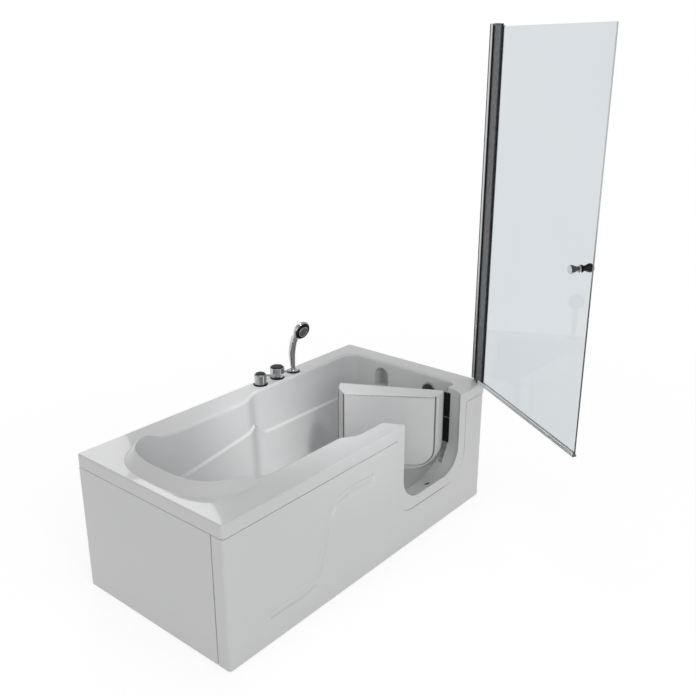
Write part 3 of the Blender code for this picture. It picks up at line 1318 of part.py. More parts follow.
def drain_set():
    """Drain flange, stopper and trap bowl, the overflow and the pipes between them"""
    floor = floor_height(DRAIN_X)
    top = floor + GAP + DRAIN_FLANGE_THICK
    bore = DRAIN_THROAT_RADIUS - DRAIN_WALL
    flange = [
        (DRAIN_FLANGE_RADIUS - DRAIN_WALL, top),
        (DRAIN_FLANGE_RADIUS, floor + GAP),
        (DRAIN_THROAT_RADIUS, floor + GAP),
        (DRAIN_THROAT_RADIUS, floor - 2 * SHELL_WALL),
        (bore, floor - 2 * SHELL_WALL),
        (bore, top - DRAIN_WALL),
        (bore + DRAIN_WALL, top),
    ]
    turned("drain_flange", flange, CHROME, (DRAIN_X, 0, 0), ring=True)
    seat = top + GAP
    plug = bore - DRAIN_WALL
    stopper = [
        (0, seat + STOPPER_THICK),
        (STOPPER_RADIUS * 0.8, seat + STOPPER_THICK * 0.8),
        (STOPPER_RADIUS, seat + STOPPER_THICK * 0.3),
        (STOPPER_RADIUS, seat),
        (plug, seat),
        (plug, seat - 2 * DRAIN_WALL),
        (STOPPER_STEM_RADIUS, seat - 3 * DRAIN_WALL),
        (STOPPER_STEM_RADIUS, BOWL_FOOT_Z + BOWL_WALL + SHELL_WALL),
        (0, BOWL_FOOT_Z + BOWL_WALL + SHELL_WALL),
    ]
    turned("drain_stopper", stopper, CHROME, (DRAIN_X, 0, 0))
    bowl_top = floor - SHELL_WALL - GAP
    bowl = [
        (0, BOWL_FOOT_Z + BOWL_WALL),
        (BOWL_RADIUS - BOWL_WALL, BOWL_FOOT_Z + BOWL_WALL),
        (BOWL_RADIUS - BOWL_WALL, bowl_top),
        (BOWL_RADIUS, bowl_top),
        (BOWL_RADIUS, BOWL_FOOT_Z + BOWL_WALL),
        (BOWL_RADIUS - BOWL_WALL, BOWL_FOOT_Z),
        (0, BOWL_FOOT_Z),
    ]
    turned("drain_trap_bowl", bowl, PLASTIC, (DRAIN_X, 0, 0))
    waste_start = BOWL_RADIUS + GAP
    waste_length = WASTE_END_Y - waste_start
    pipe = [
        (WASTE_RADIUS, waste_length),
        (WASTE_RADIUS, 0),
        (WASTE_RADIUS - BOWL_WALL, 0),
        (WASTE_RADIUS - BOWL_WALL, waste_length),
    ]
    place, turn = (DRAIN_X, waste_start, WASTE_Z), (-math.pi / 2, 0, 0)
    turned("waste_pipe", pipe, PLASTIC, place, turn, steps=24, ring=True)

    place, turn = overflow_pivot()
    plate = [
        (0, OVERFLOW_PLATE_THICK),
        (OVERFLOW_PLATE_RADIUS * 0.85, OVERFLOW_PLATE_THICK),
        (OVERFLOW_PLATE_RADIUS, OVERFLOW_PLATE_THICK * 0.4),
        (OVERFLOW_PLATE_RADIUS, GAP),
        (OVERFLOW_HOLE_RADIUS - GAP, GAP),
        (OVERFLOW_HOLE_RADIUS - GAP, -SHELL_WALL),
        (0, -SHELL_WALL),
    ]
    turned("overflow_plate", plate, CHROME, place, turn)
    knob = turned("overflow_knob", [
        (0, OVERFLOW_KNOB_THICK * 0.5),
        (OVERFLOW_KNOB_RADIUS * 0.85, OVERFLOW_KNOB_THICK * 0.5),
        (OVERFLOW_KNOB_RADIUS, OVERFLOW_KNOB_THICK * 0.3),
        (OVERFLOW_KNOB_RADIUS, 0),
        (0, 0),
    ], BLACK)
    ridge = box(
        "knob ridge",
        (-OVERFLOW_KNOB_THICK / 3, -OVERFLOW_KNOB_RADIUS * 0.8, OVERFLOW_KNOB_THICK * 0.25),
        (OVERFLOW_KNOB_THICK / 3, OVERFLOW_KNOB_RADIUS * 0.8, OVERFLOW_KNOB_THICK),
    )
    combine(knob, ridge, "UNION")
    holder = pivot("overflow knob axis", place, turn)
    knob.parent = holder
    ridge.parent = holder
    knob.location.z = OVERFLOW_PLATE_THICK + GAP
    ridge.location.z = OVERFLOW_PLATE_THICK + GAP
    body = [
        (0, -SHELL_WALL - GAP),
        (OVERFLOW_BODY_RADIUS, -SHELL_WALL - GAP),
        (OVERFLOW_BODY_RADIUS, -SHELL_WALL - OVERFLOW_BODY_DEPTH * 0.7),
        (OVERFLOW_BODY_RADIUS * 0.7, -SHELL_WALL - OVERFLOW_BODY_DEPTH),
        (0, -SHELL_WALL - OVERFLOW_BODY_DEPTH),
    ]
    turned("overflow_body", body, PLASTIC, place, turn)
    hose_x = place[0] + SHELL_WALL + OVERFLOW_BODY_DEPTH / 2
    hose_sag = (hose_x + HOSE_RADIUS - place[0]) * math.tan(turn[1] + math.pi / 2)
    hose_top = OVERFLOW_Z - OVERFLOW_BODY_RADIUS - hose_sag - GAP
    bowl_side = DRAIN_X + BOWL_RADIUS + GAP
    joint_z = floor - SHELL_WALL - 2 * HOSE_RADIUS
    route = smooth_route([
        (hose_x, OVERFLOW_Y, hose_top),
        (hose_x, OVERFLOW_Y, mix(hose_top, joint_z, 0.4)),
        (hose_x, OVERFLOW_Y, mix(hose_top, joint_z, 0.8)),
        (mix(hose_x, bowl_side, 0.1), OVERFLOW_Y * 0.8, joint_z + HOSE_RADIUS),
        (mix(hose_x, bowl_side, 0.3), OVERFLOW_Y * 0.4, joint_z),
        (mix(hose_x, bowl_side, 0.6), OVERFLOW_Y * 0.06, joint_z),
        (bowl_side + HOSE_RADIUS, 0, joint_z),
        (bowl_side, 0, joint_z),
    ], 4)
    bent_rod("overflow_hose", route, [HOSE_RADIUS] * len(route), PLASTIC, fine=2)


def locknut(name, x):
    """The nut that holds a deck fitting from below"""
    y = DECK_FITTING_Y
    top = DECK_UNDER_Z - GAP
    low = top - LOCKNUT_THICK
    nut = rod(name, LOCKNUT_RADIUS, (x, y, low), (x, y, top), STEEL, sides=6)
    foot, head = (x, y, low - OVERRUN), (x, y, top + OVERRUN)
    combine(nut, rod(f"{name} bore", SHANK_RADIUS + GAP, foot, head, sides=32))


def escutcheon(name, x):
    """The round cover plate of a deck fitting"""
    foot = RIM_HEIGHT + GAP
    top = RIM_HEIGHT + ESCUTCHEON_THICK
    bore = SHANK_RADIUS + GAP
    profile = [
        (ESCUTCHEON_RADIUS * 0.82, top),
        (ESCUTCHEON_RADIUS, foot + ESCUTCHEON_THICK * 0.4),
        (ESCUTCHEON_RADIUS, foot),
        (bore, foot),
        (bore, top),
    ]
    turned(name, profile, CHROME, (x, DECK_FITTING_Y, 0), ring=True)


def shank_profile(body):
    """A fitting's body above the deck with its threaded shank below"""
    foot = RIM_HEIGHT + ESCUTCHEON_THICK + GAP
    return body + [(SHANK_RADIUS, foot), (SHANK_RADIUS, RIM_HEIGHT - SHANK_LENGTH), (0, RIM_HEIGHT - SHANK_LENGTH)]


def flow_valve():
    """The valve that opens and shuts the water: a drum with a dark cap and a straight lever"""
    x = VALVE_FLOW_X
    foot = RIM_HEIGHT + ESCUTCHEON_THICK + GAP
    top = foot + FLOW_BODY_HEIGHT
    escutcheon("flow_valve_escutcheon", x)
    locknut("flow_valve_locknut", x)
    body = [(0, top), (FLOW_BODY_RADIUS, top), (FLOW_BODY_RADIUS, foot)]
    turned("flow_valve_body", shank_profile(body), CHROME, (x, DECK_FITTING_Y, 0))
    handle = turned("flow_valve_handle", [
        (0, FLOW_CAP_HEIGHT),
        (FLOW_CAP_RADIUS * 0.86, FLOW_CAP_HEIGHT),
        (FLOW_CAP_RADIUS, FLOW_CAP_HEIGHT * 0.8),
        (FLOW_CAP_RADIUS, 0),
        (0, 0),
    ], CHROME, (x, DECK_FITTING_Y, top + GAP), (0, 0, math.radians(FLOW_LEVER_DEGREES)))
    bar_z = FLOW_CAP_HEIGHT * 0.55
    near, far = (FLOW_CAP_RADIUS / 2, 0, bar_z), (FLOW_LEVER_REACH, 0, bar_z)
    bar = rod("flow lever", FLOW_LEVER_RADIUS, near, far, sides=16)
    bar.location = handle.location
    bar.rotation_euler = handle.rotation_euler
    combine(handle, bar, "UNION")
    disc = [
        (0, TOP_DISC_THICK),
        (FLOW_CAP_RADIUS * 0.70, TOP_DISC_THICK * 0.8),
        (FLOW_CAP_RADIUS * 0.80, 0),
        (0, 0),
    ]
    turned("flow_valve_cap", disc, BLACK, (x, DECK_FITTING_Y, top + 2 * GAP + FLOW_CAP_HEIGHT))


def temperature_valve():
    """The mixing valve: a slim stem under a wide bell with a dark top and a small tab"""
    x = VALVE_TEMP_X
    foot = RIM_HEIGHT + ESCUTCHEON_THICK + GAP
    bell_top = RIM_HEIGHT + TEMP_CAP_TOP_RISE - TOP_DISC_THICK
    bell_under = bell_top - TEMP_SKIRT_WALL
    escutcheon("temperature_valve_escutcheon", x)
    locknut("temperature_valve_locknut", x)
    stem_top = bell_under - GAP
    body = [
        (0, stem_top),
        (TEMP_STEM_RADIUS * 0.8, stem_top),
        (TEMP_STEM_RADIUS * 0.8, foot + TEMP_STEM_HEIGHT / 2),
        (TEMP_STEM_RADIUS, foot),
    ]
    turned("temperature_valve_body", shank_profile(body), CHROME, (x, DECK_FITTING_Y, 0))
    handle = turned("temperature_valve_handle", [
        (0, bell_top),
        (TEMP_CAP_RADIUS - TEMP_SKIRT_WALL / 2, bell_top),
        (TEMP_CAP_RADIUS, bell_top - TEMP_SKIRT_WALL / 2),
        (TEMP_CAP_RADIUS, bell_top - TEMP_CAP_HEIGHT),
        (TEMP_CAP_RADIUS - TEMP_SKIRT_WALL, bell_top - TEMP_CAP_HEIGHT),
        (TEMP_CAP_RADIUS - TEMP_SKIRT_WALL, bell_under),
        (0, bell_under),
    ], CHROME, (x, DECK_FITTING_Y, 0), (0, 0, math.radians(TEMP_TAB_DEGREES)))
    tab_z = bell_top - TEMP_CAP_HEIGHT * 0.75
    tab = rod(
        "temperature tab", TEMP_SKIRT_WALL,
        (TEMP_CAP_RADIUS - TEMP_SKIRT_WALL / 2, 0, tab_z), (TEMP_CAP_RADIUS + TEMP_TAB_REACH, 0, tab_z), sides=16,
    )
    tab.location = handle.location
    tab.rotation_euler = handle.rotation_euler
    combine(handle, tab, "UNION")
    disc = [
        (0, TOP_DISC_THICK - GAP),
        (TEMP_CAP_RADIUS * 0.80, TOP_DISC_THICK * 0.8),
        (TEMP_CAP_RADIUS * 0.90, 0),
        (0, 0),
    ]
    turned("temperature_valve_cap", disc, BLACK, (x, DECK_FITTING_Y, bell_top + GAP))


def hand_shower():
    """The hand shower standing in its deck socket: handle and head, dark face ring, spray disc"""
    x = SHOWER_X
    foot = RIM_HEIGHT + ESCUTCHEON_THICK
    socket_top = foot + SOCKET_HEIGHT
    socket = [
        (0, foot),
        (SOCKET_BORE, foot),
        (SOCKET_BORE, socket_top),
        (SOCKET_RADIUS * 0.9, socket_top),
        (SOCKET_RADIUS, foot + GAP),
        (ESCUTCHEON_RADIUS * 0.82, foot),
        (ESCUTCHEON_RADIUS, RIM_HEIGHT + ESCUTCHEON_THICK * 0.4),
        (ESCUTCHEON_RADIUS, RIM_HEIGHT + GAP),
        (SHANK_RADIUS, RIM_HEIGHT + GAP),
        (SHANK_RADIUS, RIM_HEIGHT - SHANK_LENGTH),
        (0, RIM_HEIGHT - SHANK_LENGTH),
    ]
    turned("hand_shower_socket", socket, CHROME, (x, DECK_FITTING_Y, 0))
    locknut("hand_shower_locknut", x)

    base = foot + GAP
    y = DECK_FITTING_Y
    neck_y = y - HANDLE_NECK_LEAN
    points = [
        (x, y, base),
        (x, y, base + HANDLE_SINK / 2),
        (x, y, base + HANDLE_SINK),
        (x, y + HANDLE_BOW, base + HANDLE_MID_RISE / 2),
        (x, y + HANDLE_BOW, base + HANDLE_MID_RISE),
        (x, neck_y + HANDLE_BOW, base + HANDLE_NECK_RISE),
        (x, y - HEAD_LEAN * 0.72, RIM_HEIGHT + HEAD_RISE * 0.96),
    ]
    route = smooth_route(points, 3)
    sizes = [HANDLE_FOOT_RADIUS] * 3 + [mix(HANDLE_FOOT_RADIUS, HANDLE_RADIUS, 0.6), HANDLE_RADIUS]
    sizes += [HANDLE_RADIUS, HANDLE_NECK_RADIUS, HANDLE_NECK_RADIUS]
    radii = []
    for i in range(len(route)):
        step, share = divmod(i, 3)
        radii.append(mix(sizes[step], sizes[step + 1], share / 3))
    handle = bent_rod("hand_shower_handle", route, radii, CHROME, fine=4)
    centre = (x, y - HEAD_LEAN, RIM_HEIGHT + HEAD_RISE)
    turn = (math.radians(HEAD_TILT_DEGREES), 0, math.radians(HEAD_TURN_DEGREES))
    dome = turned("shower head dome", [
        (0, 0),
        (HEAD_RADIUS * 0.92, 0),
        (HEAD_RADIUS, -HEAD_DEPTH * 0.15),
        (HEAD_RADIUS * 0.97, -HEAD_DEPTH * 0.38),
        (HEAD_RADIUS * 0.82, -HEAD_DEPTH * 0.64),
        (HEAD_RADIUS * 0.52, -HEAD_DEPTH * 0.88),
        (0, -HEAD_DEPTH),
    ], None, centre, turn)
    combine(handle, dome, "UNION")
    ring = [
        (FACE_RING_RADIUS * 0.92, FACE_RING_THICK),
        (FACE_RING_RADIUS, GAP),
        (FACE_RING_BORE, GAP),
        (FACE_RING_BORE, FACE_RING_THICK),
    ]
    turned("hand_shower_face_ring", ring, BLACK, centre, turn, ring=True)
    disc = [
        (0, SPRAY_DISC_THICK),
        (SPRAY_DISC_RADIUS * 0.85, SPRAY_DISC_THICK),
        (SPRAY_DISC_RADIUS, SPRAY_DISC_THICK * 0.7),
        (SPRAY_DISC_RADIUS, GAP),
        (0, GAP),
    ]
    turned("hand_shower_spray_disc", disc, CHROME, centre, turn)


def screen_bracket(name, low, high, pin_low, pin_high):
    """A dark bracket across the end of the wall channel, with the pin that the screen turns on"""
    arm = PIVOT_RADIUS * 0.75
    near_y, far_y = SCREEN_AXIS_Y - arm, SCREEN_AXIS_Y + arm
    plate = box(name, (SCREEN_AXIS_X, near_y, low), (HALF_LENGTH, far_y, high), PLASTIC)
    middle = (SCREEN_AXIS_X, SCREEN_AXIS_Y)
    grow = GAP * 2
    round_end = rod(f"{name} round end", PIVOT_RADIUS, (*middle, low - grow), (*middle, high + grow))
    combine(plate, round_end, "UNION")
    for side, foot, head in (("under", low - OVERRUN, low), ("over", high, high + OVERRUN)):
        corner = (SCREEN_AXIS_X - OVERRUN, SCREEN_AXIS_Y - OVERRUN, foot)
        opposite = (HALF_LENGTH + OVERRUN, SCREEN_AXIS_Y + OVERRUN, head)
        combine(plate, box(f"{name} {side}", corner, opposite))
    pin = rod(f"{name} pin", BRACKET_PIN_RADIUS, (*middle, pin_low), (*middle, pin_high), sides=20)
    combine(plate, pin, "UNION")
    base_low = (HALF_LENGTH - CHANNEL_DEPTH, SCREEN_AXIS_Y - arm + GAP, low + grow / 4)
    base_high = (HALF_LENGTH - grow, SCREEN_AXIS_Y - arm + CHANNEL_WIDTH, high - grow / 4)
    combine(plate, box(f"{name} base", base_low, base_high), "UNION")
    return plate


def glass_screen():
    """The wall channel and brackets, and the screen that turns on their pins"""
    arm = PIVOT_RADIUS * 0.75
    foot = RIM_HEIGHT + GAP
    bracket_top = foot + BRACKET_THICK
    head_low = SCREEN_TOP_Z - BRACKET_THICK
    rail_low = RIM_HEIGHT + RAIL_CLEARANCE
    rail_high = rail_low + RAIL_HEIGHT
    profile_low = rail_high + GAP
    profile_high = head_low - GAP
    lower_pin = (bracket_top - GAP, profile_low + BRACKET_PIN_LENGTH)
    upper_pin = (profile_high - BRACKET_PIN_LENGTH, head_low + GAP)
    screen_bracket("screen_bracket_lower", foot, bracket_top, *lower_pin)
    screen_bracket("screen_bracket_upper", head_low, SCREEN_TOP_Z, *upper_pin)

    near_y = SCREEN_AXIS_Y - arm
    far_y = near_y + CHANNEL_WIDTH
    near_x = HALF_LENGTH - CHANNEL_DEPTH
    wall = CHANNEL_WALL
    channel = [
        (near_x, near_y), (HALF_LENGTH, near_y), (HALF_LENGTH, far_y), (near_x, far_y),
        (near_x, far_y - 2 * wall), (near_x + wall, far_y - 2 * wall),
        (near_x + wall, far_y - wall), (HALF_LENGTH - wall, far_y - wall),
        (HALF_LENGTH - wall, near_y + wall), (near_x + wall, near_y + wall),
        (near_x + wall, near_y + 2 * wall), (near_x, near_y + 2 * wall),
    ]
    prism("screen_wall_channel", channel, bracket_top + GAP, head_low - GAP, CHROME)

    axis = pivot("screen axis", (SCREEN_AXIS_X, SCREEN_AXIS_Y, 0))
    half_clamp = CLAMP_THICK / 2
    slot = GLASS_THICK / 2 + GASKET_WALL + 2 * GAP
    slot_x = -CLAMP_REACH + CLAMP_SLOT_DEPTH
    open_degrees = 180 - math.degrees(math.asin(half_clamp / PIVOT_RADIUS))
    outline = arc((0, 0), PIVOT_RADIUS, -open_degrees, open_degrees, 20)
    outline += [
        (-CLAMP_REACH, half_clamp), (-CLAMP_REACH, slot), (slot_x, slot),
        (slot_x, -slot), (-CLAMP_REACH, -slot), (-CLAMP_REACH, -half_clamp),
    ]
    profile = prism("screen_pivot_profile", outline, profile_low, profile_high, PLASTIC)
    bore = BRACKET_PIN_RADIUS + PIN_CLEARANCE
    for i, (low, high) in enumerate((
        (profile_low - OVERRUN, profile_low + BRACKET_PIN_LENGTH + GAP),
        (profile_high - BRACKET_PIN_LENGTH - GAP, profile_high + OVERRUN),
    ), 1):
        hole = rod(f"pivot bore {i}", bore, (0, 0, low), (0, 0, high), sides=20)
        hole.parent = axis
        combine(profile, hole)

    outer = GLASS_THICK / 2 + GASKET_WALL + GAP
    inner = GLASS_THICK / 2 + GAP
    back = slot_x - GAP
    mouth = -CLAMP_REACH - GASKET_REACH
    gasket_outline = [
        (back, outer), (mouth, outer), (mouth, inner), (back - GASKET_WALL, inner),
        (back - GASKET_WALL, -inner), (mouth, -inner), (mouth, -outer), (back, -outer),
    ]
    gasket = prism("screen_glass_gasket", gasket_outline, profile_low, profile_high, BLACK)

    glass_low = rail_high - RAIL_SLOT_DEPTH + GAP
    glass_head = SCREEN_TOP_Z - BRACKET_THICK - LIP_PROUD
    half = GLASS_THICK / 2
    glass_x = back - GASKET_WALL - GAP
    glass = box("screen_glass", (-GLASS_EDGE_REACH, -half, glass_low), (glass_x, half, glass_head), GLASS)
    knob_x = KNOB_FROM_EDGE - GLASS_EDGE_REACH
    hole = rod("knob hole", KNOB_HOLE_RADIUS, (knob_x, -OVERRUN, KNOB_Z), (knob_x, OVERRUN, KNOB_Z))
    hole.parent = axis
    combine(glass, hole)

    half_rail = RAIL_WIDTH / 2
    groove = GLASS_THICK / 2 + GAP
    rail_end = -GLASS_EDGE_REACH + RAIL_CAP
    rail_start = -RAIL_FROM - RAIL_CAP
    section = [
        (-half_rail, rail_low), (half_rail, rail_low), (half_rail, rail_high), (groove, rail_high),
        (groove, rail_high - RAIL_SLOT_DEPTH), (-groove, rail_high - RAIL_SLOT_DEPTH), (-groove, rail_high),
        (-half_rail, rail_high),
    ]
    rail = loft("screen_bottom_rail", [[(x, y, z) for y, z in section] for x in (rail_end, rail_start)], CHROME)
    low, high = (rail_start + GAP, -half_rail, rail_low), (-RAIL_FROM, half_rail, rail_high)
    near_cap = box("rail_cap_pivot_side", low, high, CHROME)
    far_cap = box(
        "rail_cap_free_side", (-GLASS_EDGE_REACH, -half_rail, rail_low),
        (rail_end - GAP, half_rail, glass_low - GAP), PLASTIC,
    )

    knob_profile = [
        (0, KNOB_LENGTH),
        (KNOB_RADIUS * 0.9, KNOB_LENGTH),
        (KNOB_RADIUS, KNOB_LENGTH * 0.9),
        (KNOB_RADIUS * 0.95, KNOB_LENGTH * 0.7),
        (KNOB_WAIST_RADIUS, KNOB_LENGTH * 0.38),
        (KNOB_WAIST_RADIUS, KNOB_LENGTH * 0.15),
        (KNOB_RADIUS * 0.85, KNOB_LENGTH * 0.1),
        (KNOB_RADIUS * 0.85, 0),
    ]
    far_side = GLASS_THICK + 2 * GAP
    plain_end = [(0, 0)]
    stud_end = [(KNOB_STUD_RADIUS, 0), (KNOB_STUD_RADIUS, -far_side + GAP), (0, -far_side + GAP)]
    turn = math.pi / 2
    place = (knob_x, half + GAP, KNOB_Z)
    outside = turned("screen_knob_outside", knob_profile + stud_end, CHROME, place, (-turn, 0, 0))
    place = (knob_x, -half - GAP, KNOB_Z)
    inside = turned("screen_knob_inside", knob_profile + plain_end, BLACK, place, (turn, 0, 0))
    for part in (profile, gasket, glass, rail, near_cap, far_cap, outside, inside):
        part.parent = axis
    axis.rotation_euler = (0, 0, math.radians(SCREEN_SWING_DEGREES))


def build():
    clear_scene()
    tub_shell()
    apron()
    end_panel()
    support_frame()
    levelling_feet()
    sill_drain()
    tub_door()
    drain_set()
    flow_valve()
    temperature_valve()
    hand_shower()
    glass_screen()


build()
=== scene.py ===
import json
import math

import bmesh
import bpy
from mathutils import Euler, Matrix, Vector
from mathutils.bvhtree import BVHTree

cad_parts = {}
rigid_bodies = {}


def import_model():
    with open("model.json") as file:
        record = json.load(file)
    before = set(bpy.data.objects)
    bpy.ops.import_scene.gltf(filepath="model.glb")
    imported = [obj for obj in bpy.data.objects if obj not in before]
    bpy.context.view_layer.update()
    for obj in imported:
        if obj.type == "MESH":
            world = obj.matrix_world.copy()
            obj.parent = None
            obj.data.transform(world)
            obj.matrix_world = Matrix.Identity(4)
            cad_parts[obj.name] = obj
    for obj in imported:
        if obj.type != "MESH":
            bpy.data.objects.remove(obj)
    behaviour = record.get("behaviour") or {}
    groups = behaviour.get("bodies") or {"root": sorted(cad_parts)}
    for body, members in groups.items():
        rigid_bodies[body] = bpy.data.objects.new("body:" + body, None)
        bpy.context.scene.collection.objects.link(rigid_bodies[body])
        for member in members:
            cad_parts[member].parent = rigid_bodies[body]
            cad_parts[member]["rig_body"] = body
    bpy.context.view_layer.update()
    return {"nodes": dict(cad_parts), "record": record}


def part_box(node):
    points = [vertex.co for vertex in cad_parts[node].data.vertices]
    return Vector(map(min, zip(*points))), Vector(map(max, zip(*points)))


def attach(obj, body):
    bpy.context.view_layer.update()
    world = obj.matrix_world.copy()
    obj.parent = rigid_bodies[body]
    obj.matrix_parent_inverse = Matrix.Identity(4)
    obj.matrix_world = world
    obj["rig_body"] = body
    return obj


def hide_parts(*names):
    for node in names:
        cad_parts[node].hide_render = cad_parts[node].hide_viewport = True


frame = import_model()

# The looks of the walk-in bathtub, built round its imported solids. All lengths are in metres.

NODES = frame["nodes"]
SLOTS = {part["node"]: part["material_slot"] for part in frame["record"]["subparts"]}
SCENE = bpy.context.scene


# Helpers for node trees

def empty_tree(owner):
    """The node tree of a world or a material, without nodes."""
    owner.use_nodes = True
    owner.node_tree.nodes.clear()
    return owner.node_tree


def add_node(tree, kind, inputs=None):
    """A new node. An input given as a socket is linked, and any other value is set on it."""
    made = tree.nodes.new(kind)
    for socket, value in (inputs or {}).items():
        if isinstance(value, bpy.types.NodeSocket):
            tree.links.new(value, made.inputs[socket])
        else:
            made.inputs[socket].default_value = value
    return made


def math_of(tree, operation, first, second):
    """What a Math node makes of two values."""
    made = add_node(tree, "ShaderNodeMath", {0: first, 1: second})
    made.operation = operation
    return made.outputs[0]


def mixed(tree, share, low, high):
    """A number between low and high."""
    return add_node(tree, "ShaderNodeMix", {0: share, 2: low, 3: high}).outputs[0]


def fitted(tree, value, source, target, smooth=False):
    """The value carried over from the source range to the target range."""
    fit = add_node(tree, "ShaderNodeMapRange", {
        "Value": value,
        "From Min": source[0],
        "From Max": source[1],
        "To Min": target[0],
        "To Max": target[1],
    })
    if smooth:
        fit.interpolation_type = "SMOOTHSTEP"
    return fit.outputs[0]


# Camera: its place, turn and lens were solved from the tub's edges in the photograph.
CAMERA_AT = (-2.22318, -2.08906, 1.91544)
CAMERA_TURN = (math.radians(70.3), 0.0, math.radians(-50.297))
CAMERA_LENS = 43.69
CAMERA_SENSOR = 36.0

camera_data = bpy.data.cameras.new("camera")
camera_data.lens = CAMERA_LENS
camera_data.sensor_width = CAMERA_SENSOR
camera = bpy.data.objects.new("camera", camera_data)
camera.location = CAMERA_AT
camera.rotation_euler = CAMERA_TURN
SCENE.collection.objects.link(camera)
SCENE.camera = camera
SCENE.view_settings.view_transform = "Standard"

# World: white where it is seen, straight or through the glass, and dimmer as a light.
# In reflections it fades from the horizon to overhead.
WHITE = (1.0, 1.0, 1.0, 1.0)
SEEN_STRENGTH = 1.0
AMBIENT = 0.51
HORIZON_GLOSS, CEILING_GLOSS = 1.0, 0.50
HORIZON_AT, CEILING_AT = 0.05, 0.55

world = bpy.data.worlds.new("studio")
SCENE.world = world
tree = empty_tree(world)
rays = add_node(tree, "ShaderNodeLightPath").outputs
seen = math_of(tree, "MAXIMUM", rays["Is Camera Ray"], rays["Is Transmission Ray"])
direction = add_node(tree, "ShaderNodeTexCoord").outputs["Generated"]
height = add_node(tree, "ShaderNodeSeparateXYZ", {0: direction}).outputs["Z"]
gloss = fitted(tree, height, (HORIZON_AT, CEILING_AT), (HORIZON_GLOSS, CEILING_GLOSS), smooth=True)
unseen = mixed(tree, rays["Is Glossy Ray"], AMBIENT, gloss)
strength = mixed(tree, seen, unseen, SEEN_STRENGTH)
backdrop = add_node(tree, "ShaderNodeBackground", {"Color": WHITE, "Strength": strength})
add_node(tree, "ShaderNodeOutputWorld", {"Surface": backdrop.outputs[0]})

# Lamps: name, place, aim, diameter, watts, and beam in degrees or None for a full spread
LAMPS = (
    ("lamp_back", (1.75, 3.50, 3.5), (-0.5, 0.0, 0.5), 1.3, 9.0, None),
    ("lamp_left", (1.60, 4.20, 2.75), (-0.7, 0.3, 0.5), 0.8, 2.2, None),
    ("lamp_front", (-2.5, -4.3, 2.3), (0.1, 0.0, 0.4), 2.4, 35.0, None),
    ("lamp_top", (0.0, 0.0, 4.0), (0.0, 0.0, 0.5), 1.6, 6.0, None),
    ("lamp_spark", (-1.6, -4.4, 3.9), (0.0, 0.0, 0.4), 0.35, 10.0, None),
    ("lamp_basin", (-0.40, -2.2, 3.5), (0.06, 0.27, 0.25), 0.5, 0.68, 13.0),
)

for name, place, aim, diameter, watts, beam in LAMPS:
    lamp_data = bpy.data.lights.new(name, "AREA")
    lamp_data.shape = "DISK"
    lamp_data.size = diameter
    lamp_data.energy = watts
    if beam:
        lamp_data.spread = math.radians(beam)
    lamp = bpy.data.objects.new(name, lamp_data)
    lamp.location = place
    lamp.rotation_euler = (Vector(aim) - Vector(place)).to_track_quat("-Z", "Y").to_euler()
    SCENE.collection.objects.link(lamp)

# Floor: pale, with the object's shadow. Where it is seen it glows a little, and it turns to
# white between two distances from the middle.
FLOOR_HALF = 40.0
FLOOR_COLOUR = (0.88, 0.88, 0.88, 1.0)
SEEN_COLOUR = (0.42, 0.42, 0.42, 1.0)
SEEN_GLOW = 0.74
WHITE_FROM, WHITE_AT = 1.6, 3.4
WHITE_GLOW = 1.0

floor_data = bpy.data.meshes.new("floor")
corners = [
    (-FLOOR_HALF, -FLOOR_HALF, 0.0),
    (FLOOR_HALF, -FLOOR_HALF, 0.0),
    (FLOOR_HALF, FLOOR_HALF, 0.0),
    (-FLOOR_HALF, FLOOR_HALF, 0.0),
]
floor_data.from_pydata(corners, [], [(0, 1, 2, 3)])
floor = bpy.data.objects.new("floor", floor_data)
SCENE.collection.objects.link(floor)

floor_paint = bpy.data.materials.new("floor_paint")
tree = empty_tree(floor_paint)
rays = add_node(tree, "ShaderNodeLightPath").outputs
seen = math_of(tree, "MAXIMUM", rays["Is Camera Ray"], rays["Is Transmission Ray"])
seen = math_of(tree, "MAXIMUM", seen, rays["Is Glossy Ray"])
plain = add_node(tree, "ShaderNodeBsdfDiffuse", {"Color": FLOOR_COLOUR})
shown = add_node(tree, "ShaderNodeBsdfDiffuse", {"Color": SEEN_COLOUR})
glow_level = math_of(tree, "MULTIPLY", seen, SEEN_GLOW)
glow = add_node(tree, "ShaderNodeEmission", {"Strength": glow_level})
lit = add_node(tree, "ShaderNodeAddShader", {0: shown.outputs[0], 1: glow.outputs[0]})
near = add_node(tree, "ShaderNodeMixShader", {0: seen, 1: plain.outputs[0], 2: lit.outputs[0]})
white = add_node(tree, "ShaderNodeEmission", {"Strength": WHITE_GLOW})
place = add_node(tree, "ShaderNodeTexCoord").outputs["Object"]
distance = add_node(tree, "ShaderNodeVectorMath", {0: place})
distance.operation = "LENGTH"
far = fitted(tree, distance.outputs["Value"], (WHITE_FROM, WHITE_AT), (0.0, 1.0), smooth=True)
far_seen = math_of(tree, "MULTIPLY", far, seen)
surface = add_node(tree, "ShaderNodeMixShader", {0: far_seen, 1: near.outputs[0], 2: white.outputs[0]})
add_node(tree, "ShaderNodeOutputMaterial", {"Surface": surface.outputs[0]})
floor_data.materials.append(floor_paint)

